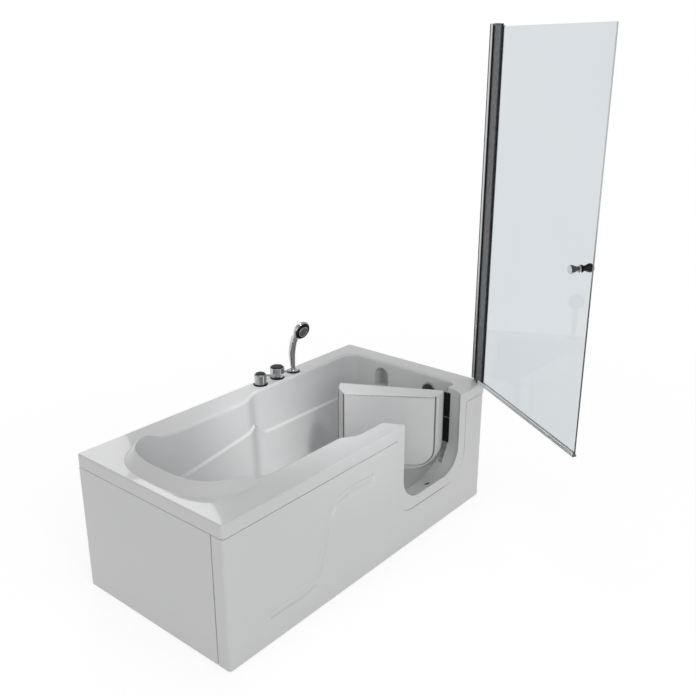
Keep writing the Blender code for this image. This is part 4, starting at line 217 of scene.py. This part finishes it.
# Finishes, by material slot. Each has
#   colour: dark, light and the scale of the noise between them
#   roughness: lowest, highest and the scale of its noise
#   relief: the scale of its noise and its height
#   stretch of all three noises along the axes, or None
#   other settings of the shader
ACRYLIC = {"IOR": 1.49, "Coat Weight": 0.8, "Coat Roughness": 0.03, "Specular IOR Level": 0.30}
METAL = {"Metallic": 1.0}
FINISHES = {
    "tub_acrylic": (
        ((0.732, 0.736, 0.740), (0.752, 0.754, 0.757), 2.2),
        (0.13, 0.20, 5.0), (3.5, 0.0010), None, ACRYLIC),
    "door_acrylic": (
        ((0.732, 0.736, 0.740), (0.752, 0.754, 0.757), 3.0),
        (0.14, 0.21, 6.0), (6.0, 0.0006), None, ACRYLIC),
    "frame_steel": (
        ((0.36, 0.37, 0.38), (0.58, 0.59, 0.60), 45.0),
        (0.32, 0.55, 60.0), (90.0, 0.0003), None, METAL),
    "foot_steel": (
        ((0.42, 0.43, 0.44), (0.60, 0.61, 0.62), 70.0),
        (0.25, 0.42, 120.0), (220.0, 0.0001), None, METAL),
    "seal_rubber": (
        ((0.16, 0.16, 0.16), (0.24, 0.24, 0.24), 90.0),
        (0.55, 0.75, 60.0), (260.0, 0.0001), None, {}),
    "screen_rubber": (
        ((0.020, 0.020, 0.022), (0.034, 0.034, 0.036), 80.0),
        (0.42, 0.60, 60.0), (260.0, 0.0001), None, {}),
    "hinge_steel": (
        ((0.50, 0.50, 0.51), (0.66, 0.66, 0.67), 60.0),
        (0.24, 0.36, 80.0), (400.0, 0.00005), (1.0, 1.0, 0.06), METAL),
    "black_plastic": (
        ((0.012, 0.012, 0.013), (0.022, 0.022, 0.023), 60.0),
        (0.22, 0.34, 90.0), (420.0, 0.00006), None, {"Specular IOR Level": 0.12}),
    # painted dark reflection for the outside knob's chrome
    "knob_black": (
        ((0.016, 0.016, 0.017), (0.026, 0.026, 0.027), 60.0),
        (0.18, 0.30, 90.0), (380.0, 0.00005), None, {"Coat Weight": 0.4, "Coat Roughness": 0.10}),
    "chrome": (
        ((0.42, 0.425, 0.435), (0.56, 0.565, 0.575), 14.0),
        (0.04, 0.10, 40.0), (60.0, 0.00004), None, METAL),
    "knob_chrome": (
        ((0.42, 0.425, 0.435), (0.58, 0.585, 0.595), 20.0),
        (0.05, 0.12, 40.0), (60.0, 0.00004), None, METAL),
    "shower_chrome": (
        ((0.48, 0.485, 0.495), (0.62, 0.625, 0.635), 14.0),
        (0.05, 0.11, 40.0), (50.0, 0.00005), None, METAL),
    "rail_chrome": (
        ((0.84, 0.845, 0.85), (0.93, 0.935, 0.94), 12.0),
        (0.22, 0.34, 60.0), (500.0, 0.00004), (0.05, 0.05, 1.0), METAL),
    # chrome with a painted dark reflection, for the sides of the deck fittings' rings
    "chrome_dark_reflection": (
        ((0.030, 0.030, 0.032), (0.060, 0.060, 0.063), 20.0),
        (0.05, 0.12, 40.0), (60.0, 0.00004), None, METAL),
    "nut_brass": (
        ((0.46, 0.33, 0.14), (0.68, 0.50, 0.23), 60.0),
        (0.22, 0.38, 80.0), (300.0, 0.00008), None, METAL),
    "pipe_plastic": (
        ((0.62, 0.62, 0.62), (0.70, 0.70, 0.70), 30.0),
        (0.36, 0.48, 50.0), (300.0, 0.00008), None, {}),
    "spray_disc": (
        ((0.13, 0.13, 0.135), (0.19, 0.19, 0.195), 60.0),
        (0.35, 0.45, 60.0), (420.0, 0.00010), None, {}),
    "screen_aluminium": (
        ((0.50, 0.51, 0.52), (0.66, 0.67, 0.68), 40.0),
        (0.28, 0.38, 60.0), (900.0, 0.00004), (1.0, 1.0, 0.01), METAL),
    "profile_grey": (
        ((0.035, 0.037, 0.041), (0.165, 0.168, 0.176), 190.0),
        (0.30, 0.42, 60.0), (900.0, 0.00004), (1.0, 1.0, 0.35),
        {"Coat Weight": 0.15, "Coat Roughness": 0.2}),
    "grey_plastic": (
        ((0.12, 0.122, 0.126), (0.17, 0.172, 0.176), 60.0),
        (0.36, 0.50, 80.0), (420.0, 0.00008), None, {}),
}

# Clear glass has a faint cool tint and a thin film of water marks.
GLASS = {"Transmission Weight": 1.0, "IOR": 1.25}
GLASS_FINISH = (
    ((0.665, 0.712, 0.740), (0.705, 0.742, 0.765), 1.3),
    (0.0, 0.02, 3.0), (1.5, 0.0002), None, GLASS)

# The values that a noise mostly keeps to, and the detail of the colour, roughness and relief
# noises
NOISE_RANGE = (0.3, 0.7)
NOISE_DETAIL = (4.0, 3.0, 2.0)
GLASS_DETAIL = (2.0, 3.0, 1.0)
RELIEF_STRENGTH = 1.0


def new_finish(name):
    """A material, its tree, its shader and its object coordinates."""
    material = bpy.data.materials.new(name)
    tree = empty_tree(material)
    shader = add_node(tree, "ShaderNodeBsdfPrincipled")
    add_node(tree, "ShaderNodeOutputMaterial", {"Surface": shader.outputs[0]})
    place = add_node(tree, "ShaderNodeTexCoord").outputs["Object"]
    return material, tree, shader, place


def noise(tree, place, scale, detail, stretch=None):
    """A noise value at that scale, drawn out along an axis where stretch says so."""
    if stretch:
        place = add_node(tree, "ShaderNodeMapping", {"Vector": place, "Scale": stretch}).outputs[0]
    inputs = {"Vector": place, "Scale": scale, "Detail": detail}
    return add_node(tree, "ShaderNodeTexNoise", inputs).outputs["Fac"]


def tint(tree, value, dark, light, source=NOISE_RANGE):
    """A colour between dark and light, as the value goes through the source range."""
    ramp = add_node(tree, "ShaderNodeValToRGB", {"Fac": value})
    for element, position, colour in zip(ramp.color_ramp.elements, source, (dark, light)):
        element.position = position
        element.color = (*colour, 1.0)
    return ramp.outputs["Color"]


def noise_finish(name, finish, details):
    """A material whose colour, roughness and relief each follow a noise of their own."""
    colours, roughs, relief, stretch, settings = finish
    dark, light, colour_scale = colours
    rough_low, rough_high, rough_scale = roughs
    relief_scale, relief_height = relief
    colour_detail, rough_detail, relief_detail = details
    material, tree, shader, place = new_finish(name)
    for socket, value in settings.items():
        shader.inputs[socket].default_value = value
    colour_noise = noise(tree, place, colour_scale, colour_detail, stretch)
    tree.links.new(tint(tree, colour_noise, dark, light), shader.inputs["Base Color"])
    rough_noise = noise(tree, place, rough_scale, rough_detail, stretch)
    rough = fitted(tree, rough_noise, NOISE_RANGE, (rough_low, rough_high))
    tree.links.new(rough, shader.inputs["Roughness"])
    bump = add_node(tree, "ShaderNodeBump", {
        "Strength": RELIEF_STRENGTH,
        "Distance": relief_height,
        "Height": noise(tree, place, relief_scale, relief_detail, stretch),
    })
    tree.links.new(bump.outputs[0], shader.inputs["Normal"])
    return material


PAINTS = {}
for slot_name, slot_finish in FINISHES.items():
    PAINTS[slot_name] = noise_finish("finish_" + slot_name, slot_finish, NOISE_DETAIL)
PAINTS["screen_glass"] = noise_finish("finish_screen_glass", GLASS_FINISH, GLASS_DETAIL)

# The pane's polished free edge gets painted shade below and a painted pale reflection towards its top.
EDGE_SHADE_AT, EDGE_REFLECTION_AT = 1.10, 1.45
EDGE_SHADE, EDGE_REFLECTION = (0.050, 0.056, 0.058), (0.60, 0.62, 0.63)
EDGE_ROUGHNESS = (0.10, 0.20)
EDGE_NOISE_SCALE, EDGE_NOISE_DETAIL = 40.0, 3.0

painted_edge_light, tree, shader, place = new_finish("finish_glass_edge")
height = add_node(tree, "ShaderNodeSeparateXYZ", {0: place}).outputs["Z"]
share = fitted(tree, height, (EDGE_SHADE_AT, EDGE_REFLECTION_AT), (0.0, 1.0))
edge_light_tint = tint(tree, share, EDGE_SHADE, EDGE_REFLECTION, (0.0, 1.0))
tree.links.new(edge_light_tint, shader.inputs["Base Color"])
edge_noise = noise(tree, place, EDGE_NOISE_SCALE, EDGE_NOISE_DETAIL)
tree.links.new(fitted(tree, edge_noise, NOISE_RANGE, EDGE_ROUGHNESS), shader.inputs["Roughness"])
PAINTS["glass_edge_painted_light"] = painted_edge_light


# Helpers for meshes. Angles are given in degrees.
EDGE_SEGMENTS, EDGE_PROFILE = 3, 0.5


def finished(name, bm, node, sharp_from=40.0, instead=True):
    """The mesh as a piece with a CAD node's slot and body, which stands for it or adds to it."""
    mesh = bpy.data.meshes.new(name)
    bm.normal_update()
    for face in bm.faces:
        face.smooth = True
    for edge in bm.edges:
        edge.smooth = not (edge.is_manifold and edge.calc_face_angle(0.0) > math.radians(sharp_from))
    bm.to_mesh(mesh)
    bm.free()
    piece = bpy.data.objects.new(name, mesh)
    SCENE.collection.objects.link(piece)
    mesh.materials.append(PAINTS[SLOTS[node]])
    even = piece.modifiers.new("even", "WEIGHTED_NORMAL")
    even.keep_sharp = True
    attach(piece, NODES[node]["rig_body"])
    if instead:
        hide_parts(node)
    return piece


def round_edges(bm, width, angle=28.0, shortest=0.003):
    """Rounds the hard edges that are long enough to take it."""
    bm.normal_update()
    hard = [edge for edge in bm.edges
            if edge.is_manifold and edge.calc_face_angle(0.0) > math.radians(angle)
            and edge.calc_length() > shortest]
    bmesh.ops.bevel(bm, geom=hard, offset=width, segments=EDGE_SEGMENTS, profile=EDGE_PROFILE,
                    affect="EDGES", clamp_overlap=False)


def tidy_mesh(bm, merge, flat=0.5):
    """Merges slivers and takes out the lines across flat faces."""
    bmesh.ops.remove_doubles(bm, verts=bm.verts, dist=merge)
    bmesh.ops.dissolve_degenerate(bm, edges=bm.edges, dist=merge / 2)
    bmesh.ops.dissolve_limit(bm, verts=bm.verts, edges=bm.edges, angle_limit=math.radians(flat))


def skin(rings):
    """A closed mesh through rings of equal length."""
    bm = bmesh.new()
    loops = [[bm.verts.new(point) for point in ring] for ring in rings]
    for low, high in zip(loops, loops[1:]):
        for i, vert in enumerate(low):
            j = (i + 1) % len(low)
            bm.faces.new((vert, low[j], high[j], high[i]))
    bm.faces.new(list(reversed(loops[0])))
    bm.faces.new(loops[-1])
    bmesh.ops.recalc_face_normals(bm, faces=bm.faces)
    return bm


def scratch_object(bm):
    """The mesh as an object that is removed again after a cut."""
    mesh = bpy.data.meshes.new("scratch")
    bm.to_mesh(mesh)
    bm.free()
    obj = bpy.data.objects.new("scratch", mesh)
    SCENE.collection.objects.link(obj)
    return obj


def cut(bm, cutter_bm):
    """The first mesh less the second."""
    target = scratch_object(bm)
    cutter = scratch_object(cutter_bm)
    modifier = target.modifiers.new("cut", "BOOLEAN")
    modifier.operation = "DIFFERENCE"
    modifier.solver = "EXACT"
    modifier.object = cutter
    bpy.context.view_layer.update()
    result = bmesh.new()
    result.from_object(target, bpy.context.evaluated_depsgraph_get())
    bpy.data.objects.remove(target)
    bpy.data.objects.remove(cutter)
    return result


def arc(centre, radius, start, end, count):
    """Points of an arc, both ends with it."""
    turns = [math.radians(start + (end - start) * i / count) for i in range(count + 1)]
    return [(centre[0] + radius * math.cos(a), centre[1] + radius * math.sin(a)) for a in turns]


def full_turn(count):
    """Even steps round a full turn, in radians."""
    return [math.tau * step / count for step in range(count)]


def smooth_route(points, count):
    """Points of a smooth curve through the given ones."""
    points = [Vector(p) for p in points]
    ends = [points[0] * 2 - points[1]] + points + [points[-1] * 2 - points[-2]]
    route = []
    for a, b, c, d in zip(ends, ends[1:], ends[2:], ends[3:]):
        for i in range(count):
            t = i / count
            bend = (2 * a - 5 * b + 4 * c - d) * t ** 2
            twist = (3 * b - a - 3 * c + d) * t ** 3
            route.append((2 * b + (c - a) * t + bend + twist) / 2)
    return route + [points[-1]]


# The front apron is a panel with rounded corners, open at the doorway.
APRON_X, APRON_Y, APRON_BACK, APRON_WALL, APRON_CORNER = 0.759, -0.378, -0.323, 0.006, 0.012
APRON_LOW, APRON_TOP = 0.003, 0.4962
APRON_OUTER_STEPS, APRON_INNER_STEPS = 10, 6
DOOR_LEFT, DOOR_RIGHT, DOOR_SILL, BAND_CORNER = 0.1325, 0.6212, 0.1580, 0.1163
MOUTH_TOP, MOUTH_FRONT, MOUTH_REAR, MOUTH_STEPS = 0.56, -0.40, -0.36, 8

left_corner = (-APRON_X + APRON_CORNER, APRON_Y + APRON_CORNER)
right_corner = (APRON_X - APRON_CORNER, APRON_Y + APRON_CORNER)
inner_radius = APRON_CORNER - APRON_WALL
plan = [(-APRON_X, APRON_BACK)]
plan += arc(left_corner, APRON_CORNER, 180, 270, APRON_OUTER_STEPS)
plan += arc(right_corner, APRON_CORNER, 270, 360, APRON_OUTER_STEPS)
plan += [(APRON_X, APRON_BACK), (APRON_X - APRON_WALL, APRON_BACK)]
plan += arc(right_corner, inner_radius, 360, 270, APRON_INNER_STEPS)
plan += arc(left_corner, inner_radius, 270, 180, APRON_INNER_STEPS)
plan.append((-APRON_X + APRON_WALL, APRON_BACK))
apron = skin([[(x, y, z) for x, y in plan] for z in (APRON_LOW, APRON_TOP)])

mouth_left = (DOOR_LEFT + BAND_CORNER, DOOR_SILL + BAND_CORNER)
mouth_right = (DOOR_RIGHT - BAND_CORNER, DOOR_SILL + BAND_CORNER)
mouth = [(DOOR_LEFT, MOUTH_TOP)]
mouth += arc(mouth_left, BAND_CORNER, 180, 270, MOUTH_STEPS)
mouth += arc(mouth_right, BAND_CORNER, 270, 360, MOUTH_STEPS)
mouth.append((DOOR_RIGHT, MOUTH_TOP))
apron = cut(apron, skin([[(x, y, z) for x, z in mouth] for y in (MOUTH_FRONT, MOUTH_REAR)]))

# Its S-shaped groove is pressed in along a smooth line, in x and z, with round ends. It is
# GROOVE_HALF wide to each side of the line at the front, and narrower by GROOVE_SLOPE and then
# GROOVE_FLOOR as it gets deeper.
GROOVE_POINTS = [(-0.020, 0.405), (-0.185, 0.405), (-0.262, 0.345), (-0.318, 0.165),
                 (-0.375, 0.113), (-0.562, 0.113)]
GROOVE_LINE_STEPS, GROOVE_END_STEPS = 9, 12
GROOVE_HALF, GROOVE_SLOPE, GROOVE_FLOOR = 0.0165, 0.0055, 0.0095
GROOVE_DEEP, GROOVE_SLOPE_SHARE, GROOVE_OVERCUT = 0.0056, 0.92, 0.01

groove_line = smooth_route([(x, z, 0.0) for x, z in GROOVE_POINTS], GROOVE_LINE_STEPS)
# The way along the line, at each of its points
ahead = [b - a for a, b in zip(groove_line, groove_line[1:])]
ahead = [ahead[0]] + [a + b for a, b in zip(ahead, ahead[1:])] + [ahead[-1]]


def groove_ring(half, y):
    """The groove's outline at half its width there, in the plane of that y."""
    first, last = groove_line[0], groove_line[-1]
    sides = [Vector((-step.y, step.x, 0.0)).normalized() * half for step in ahead]
    end_out = ahead[-1].normalized() * half
    start_out = -ahead[0].normalized() * half
    turns = [math.radians(180 * i / GROOVE_END_STEPS) for i in range(1, GROOVE_END_STEPS)]
    ring = [p + side for p, side in zip(groove_line, sides)]
    ring += [last + sides[-1] * math.cos(a) + end_out * math.sin(a) for a in turns]
    ring += [p - side for p, side in reversed(list(zip(groove_line, sides)))]
    ring += [first - sides[0] * math.cos(a) + start_out * math.sin(a) for a in turns]
    return [(p.x, y, p.y) for p in ring]


apron = cut(apron, skin([
    groove_ring(GROOVE_HALF, APRON_Y - GROOVE_OVERCUT),
    groove_ring(GROOVE_HALF, APRON_Y),
    groove_ring(GROOVE_HALF - GROOVE_SLOPE, APRON_Y + GROOVE_DEEP * GROOVE_SLOPE_SHARE),
    groove_ring(GROOVE_HALF - GROOVE_FLOOR, APRON_Y + GROOVE_DEEP),
]))
tidy_mesh(apron, merge=0.0002, flat=0.3)
round_edges(apron, width=0.0012, angle=25.0, shortest=0.0015)
apron = finished("fine_front_apron", apron, "front_apron")

# The cut edge round the doorway is painted dark grey, as painted shade in the seam beside the tub's
# band.
SEAM_MARGIN, SEAM_TURN = 0.002, 0.97
apron.data.materials.append(PAINTS["profile_grey"])
for polygon in apron.data.polygons:
    x, y, z = polygon.center
    across = DOOR_LEFT + BAND_CORNER / 2 < x < DOOR_RIGHT + SEAM_MARGIN
    upright = DOOR_SILL - SEAM_MARGIN < z < APRON_TOP - SEAM_MARGIN
    if across and upright and abs(polygon.normal.y) < SEAM_TURN:
        polygon.material_index = 1

# The head end panel
PANEL_OUT, PANEL_IN, PANEL_FRONT, PANEL_REAR = -0.759, -0.753, -0.3186, 0.378
panel_plan = [(PANEL_OUT, PANEL_FRONT), (PANEL_IN, PANEL_FRONT), (PANEL_IN, PANEL_REAR),
              (PANEL_OUT, PANEL_REAR)]
end_panel = skin([[(x, y, z) for x, y in panel_plan] for z in (APRON_LOW, APRON_TOP)])
round_edges(end_panel, width=0.0012)
finished("fine_head_end_panel", end_panel, "head_end_panel")

# The mouldings get the soft edges of a formed sheet.
# node, width of the rounding, merge distance, least length of a rounded edge
MOULDINGS = (
    ("tub_shell", 0.0022, 0.0006, 0.004),
    ("door_outer_skin", 0.0014, 0.0003, 0.002),
    ("door_inner_liner", 0.0022, 0.0003, 0.003),
)
MOULDING_ANGLE = 26.0

for node, width, merge, shortest in MOULDINGS:
    moulding = bmesh.new()
    moulding.from_mesh(NODES[node].data)
    tidy_mesh(moulding, merge)
    round_edges(moulding, width, MOULDING_ANGLE, shortest)
    finished("fine_" + node, moulding, node)

# The hinge's lower cover reaches down to the foot of its pocket.
COVER_FOOT, COVER_FOOT_HEIGHT, COVER_DROP = 0.318, 0.005, 0.0265

cover = bmesh.new()
cover.from_mesh(NODES["hinge_cover_lower"].data)
for vert in cover.verts:
    if vert.co.z < COVER_FOOT + COVER_FOOT_HEIGHT:
        vert.co.z -= COVER_DROP
finished("fine_hinge_cover_lower", cover, "hinge_cover_lower")

# Below it a steel plate follows the jamb's curve, with a bright lip at its foot.
STRIP_CHAMFER, STRIP_SUNK = 0.0006, 0.0004
STRIP_FROM_X, STRIP_WAY = 0.50, Vector((1.0, 0.0, 0.0))

jamb_mesh = bmesh.new()
jamb_mesh.from_mesh(NODES["tub_shell"].data)
JAMB = BVHTree.FromBMesh(jamb_mesh)


def jamb_strip(name, node, near, far, head, foot, rows, thick):
    """A thin strip on the doorway's hinge side, from one height down to another."""
    section = (
        (near, -STRIP_SUNK), (far, -STRIP_SUNK), (far, thick - STRIP_CHAMFER),
        (far - STRIP_CHAMFER, thick), (near + STRIP_CHAMFER, thick), (near, thick - STRIP_CHAMFER),
    )
    rings = []
    for row in range(rows + 1):
        z = head + (foot - head) * row / rows
        ring = []
        for y, lift in section:
            at, way, _, _ = JAMB.ray_cast(Vector((STRIP_FROM_X, y, z)), STRIP_WAY)
            ring.append(at + way * lift)
        rings.append(ring)
    return finished(name, skin(rings), node, instead=False)


jamb_strip("hinge_foot_plate", "hinge_jamb_leaf", near=-0.3045, far=-0.2745,
           head=0.2900, foot=0.2155, rows=14, thick=0.0012)
foot_lip = jamb_strip("hinge_foot_lip", "hinge_cover_band", near=-0.3065, far=-0.2725,
                      head=0.2150, foot=0.2105, rows=2, thick=0.0026)
foot_lip.data.materials[0] = PAINTS["rail_chrome"]
jamb_mesh.free()

# The wall channel is a lipped silver face beside the knuckle, with painted shade: dark grey on the
# step at its outer lip and black in its hollow.
CHANNEL_LIP, CHANNEL_SIDE, CHANNEL_WALL = 0.0125, 0.0125, 0.0025
CHANNEL_EDGE, CHANNEL_STEP, CHANNEL_TOP = 0.0046, 0.0010, 1.9930

low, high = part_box("screen_wall_channel")
face_x, wall_x, near_y, far_y = low[0], high[0], low[1], high[1]
side_y = far_y + CHANNEL_SIDE
outline = [
    (face_x, near_y),
    (wall_x, near_y),
    (wall_x, side_y),
    (face_x + CHANNEL_STEP, side_y),
    (face_x + CHANNEL_STEP, side_y - CHANNEL_EDGE),
    (face_x, side_y - CHANNEL_EDGE),
    (face_x, side_y - CHANNEL_LIP),
    (face_x + CHANNEL_WALL, side_y - CHANNEL_LIP),
    (face_x + CHANNEL_WALL, far_y - CHANNEL_WALL),
    (wall_x - CHANNEL_WALL, far_y - CHANNEL_WALL),
    (wall_x - CHANNEL_WALL, near_y + CHANNEL_WALL),
    (face_x, near_y + CHANNEL_WALL),
]
channel = skin([[(x, y, z) for x, y in outline] for z in (low[2], CHANNEL_TOP)])
round_edges(channel, width=0.0003)
channel = finished("fine_wall_channel", channel, "screen_wall_channel", sharp_from=60.0)
channel.data.materials.append(PAINTS["profile_grey"])
channel.data.materials.append(PAINTS["screen_rubber"])
for polygon in channel.data.polygons:
    x, y, z = polygon.center
    in_shaded_gap = near_y + CHANNEL_WALL / 2 < y < side_y - CHANNEL_LIP
    # painted shade: dark grey on the lip's step, black in the hollow
    if y > side_y - CHANNEL_EDGE and x < face_x + 1.5 * CHANNEL_STEP:
        polygon.material_index = 1
    elif in_shaded_gap and x < wall_x - CHANNEL_WALL / 2:
        polygon.material_index = 2

# The spray face has a bright ring round its disc and rings of small rubber nozzles. They are
# laid out flat, with z out of the face, and turned into the place of the shower's head.
HEAD_AT = (0.319, 0.277, 0.751)
HEAD_TURN = Euler((math.radians(107.0), 0.0, math.radians(-6.0)))
HEAD_FRAME = Matrix.Translation(HEAD_AT) @ HEAD_TURN.to_matrix().to_4x4()
TRIM_RADIUS, TRIM_HALF, TRIM_HEIGHT = 0.0228, 0.0013, 0.0058
TRIM_STEPS, TRIM_SIDES = 48, 8
NOZZLE_RINGS = ((0.0045, 6), (0.0090, 11), (0.0132, 16), (0.0170, 21))
NOZZLE_SIDES = 6
NOZZLE_FOOT_RADIUS, NOZZLE_TIP_RADIUS = 0.0011, 0.0007
NOZZLE_FOOT_UP = Vector((0.0, 0.0, 0.0068))
NOZZLE_TIP_UP = Vector((0.0, 0.0, 0.0078))

trim = bmesh.new()
trim_loops = []
for around in full_turn(TRIM_STEPS):
    loop = []
    for lean in full_turn(TRIM_SIDES):
        radius = TRIM_RADIUS + TRIM_HALF * math.cos(lean)
        height = TRIM_HEIGHT + TRIM_HALF * math.sin(lean)
        point = Vector((radius * math.cos(around), radius * math.sin(around), height))
        loop.append(trim.verts.new(HEAD_FRAME @ point))
    trim_loops.append(loop)
for loop, next_loop in zip(trim_loops, trim_loops[1:] + trim_loops[:1]):
    for side in range(TRIM_SIDES):
        after = (side + 1) % TRIM_SIDES
        trim.faces.new((loop[side], next_loop[side], next_loop[after], loop[after]))
bmesh.ops.recalc_face_normals(trim, faces=trim.faces)
finished("spray_trim_ring", trim, "hand_shower_handle", instead=False)

nozzles = bmesh.new()
for ring_radius, ring_count in NOZZLE_RINGS:
    for around in full_turn(ring_count):
        middle = Vector((ring_radius * math.cos(around), ring_radius * math.sin(around), 0.0))
        foot, tip = [], []
        for lean in full_turn(NOZZLE_SIDES):
            out_way = Vector((math.cos(lean), math.sin(lean), 0.0))
            foot_point = middle + out_way * NOZZLE_FOOT_RADIUS + NOZZLE_FOOT_UP
            tip_point = middle + out_way * NOZZLE_TIP_RADIUS + NOZZLE_TIP_UP
            foot.append(nozzles.verts.new(HEAD_FRAME @ foot_point))
            tip.append(nozzles.verts.new(HEAD_FRAME @ tip_point))
        for side in range(NOZZLE_SIDES):
            after = (side + 1) % NOZZLE_SIDES
            nozzles.faces.new((foot[side], foot[after], tip[after], tip[side]))
        nozzles.faces.new(tip)
        nozzles.faces.new(list(reversed(foot)))
finished("spray_nozzles", nozzles, "hand_shower_face_ring", instead=False)

# The CAD nodes that stay get their finish and small roundings on their hard edges.
ROUNDINGS = {
    "support_frame": 0.0015,
    "screen_glass": 0.0006,
    "screen_pivot_profile": 0.0008,
    "screen_bottom_rail": 0.0012,
}
PLAIN_ROUNDING = 0.0005
ROUND_FROM = math.radians(32.0)
ROUND_SEGMENTS = 2
WELD_WITHIN = 0.00001
FLAT_WITHIN = math.radians(0.4)

for name, obj in NODES.items():
    if obj.hide_render:
        continue
    obj.data.materials.clear()
    obj.data.materials.append(PAINTS[SLOTS[name]])
    for polygon in obj.data.polygons:
        polygon.use_smooth = True
    weld = obj.modifiers.new("weld", "WELD")
    weld.merge_threshold = WELD_WITHIN
    flat = obj.modifiers.new("flat", "DECIMATE")
    flat.decimate_type = "DISSOLVE"
    flat.angle_limit = FLAT_WITHIN
    rounding = obj.modifiers.new("rounding", "BEVEL")
    rounding.width = ROUNDINGS.get(name, PLAIN_ROUNDING)
    rounding.segments = ROUND_SEGMENTS
    rounding.limit_method = "ANGLE"
    rounding.angle_limit = ROUND_FROM
    even = obj.modifiers.new("even", "WEIGHTED_NORMAL")
    even.keep_sharp = True


def repaint(node, paint, chosen):
    """Another paint for the polygons of a CAD node that are chosen by centre and normal."""
    mesh = NODES[node].data
    mesh.materials.append(PAINTS[paint])
    index = len(mesh.materials) - 1
    for polygon in mesh.polygons:
        if chosen(polygon.center, polygon.normal):
            polygon.material_index = index


# The knuckle of the pivot profile is painted black as painted shade in the gap beside the wall
# channel, and its clamp keeps the dark grey grain.
PIVOT_AXIS = Vector((0.730, -0.3635))
KNUCKLE_SHADE_REACH, PANE_REACH = 0.0125, 0.743

repaint("screen_pivot_profile", "screen_rubber",
        lambda at, way: (at.xy - PIVOT_AXIS).length < KNUCKLE_SHADE_REACH)
# The pane's free edge takes the painted shade and painted reflection.
repaint("screen_glass", "glass_edge_painted_light",
        lambda at, way: (at.xy - PIVOT_AXIS).length > PANE_REACH)

# The sides of the deck fittings' outer rings and the outside knob, apart from its end and underside,
# get a painted dark reflection on their chrome.
DECK_TOP, RING_TOP, RING_FLAT = 0.550, 0.5562, 0.9
KNOB_WAY, KNOB_END, KNOB_UNDER = Vector((-0.841, 0.541, 0.0)), 0.8, -0.35

for node in ("flow_valve_escutcheon", "temperature_valve_escutcheon", "hand_shower_socket"):
    repaint(node, "chrome_dark_reflection",
            lambda at, way: DECK_TOP < at.z < RING_TOP and way.z < RING_FLAT)
# The outside knob's round side gets a painted dark reflection.
repaint("screen_knob_outside", "knob_black",
        lambda at, way: way.dot(KNOB_WAY) < KNOB_END and way.z > KNOB_UNDER)
repaint("sill_drain_grommet", "screen_rubber", lambda at, way: True)
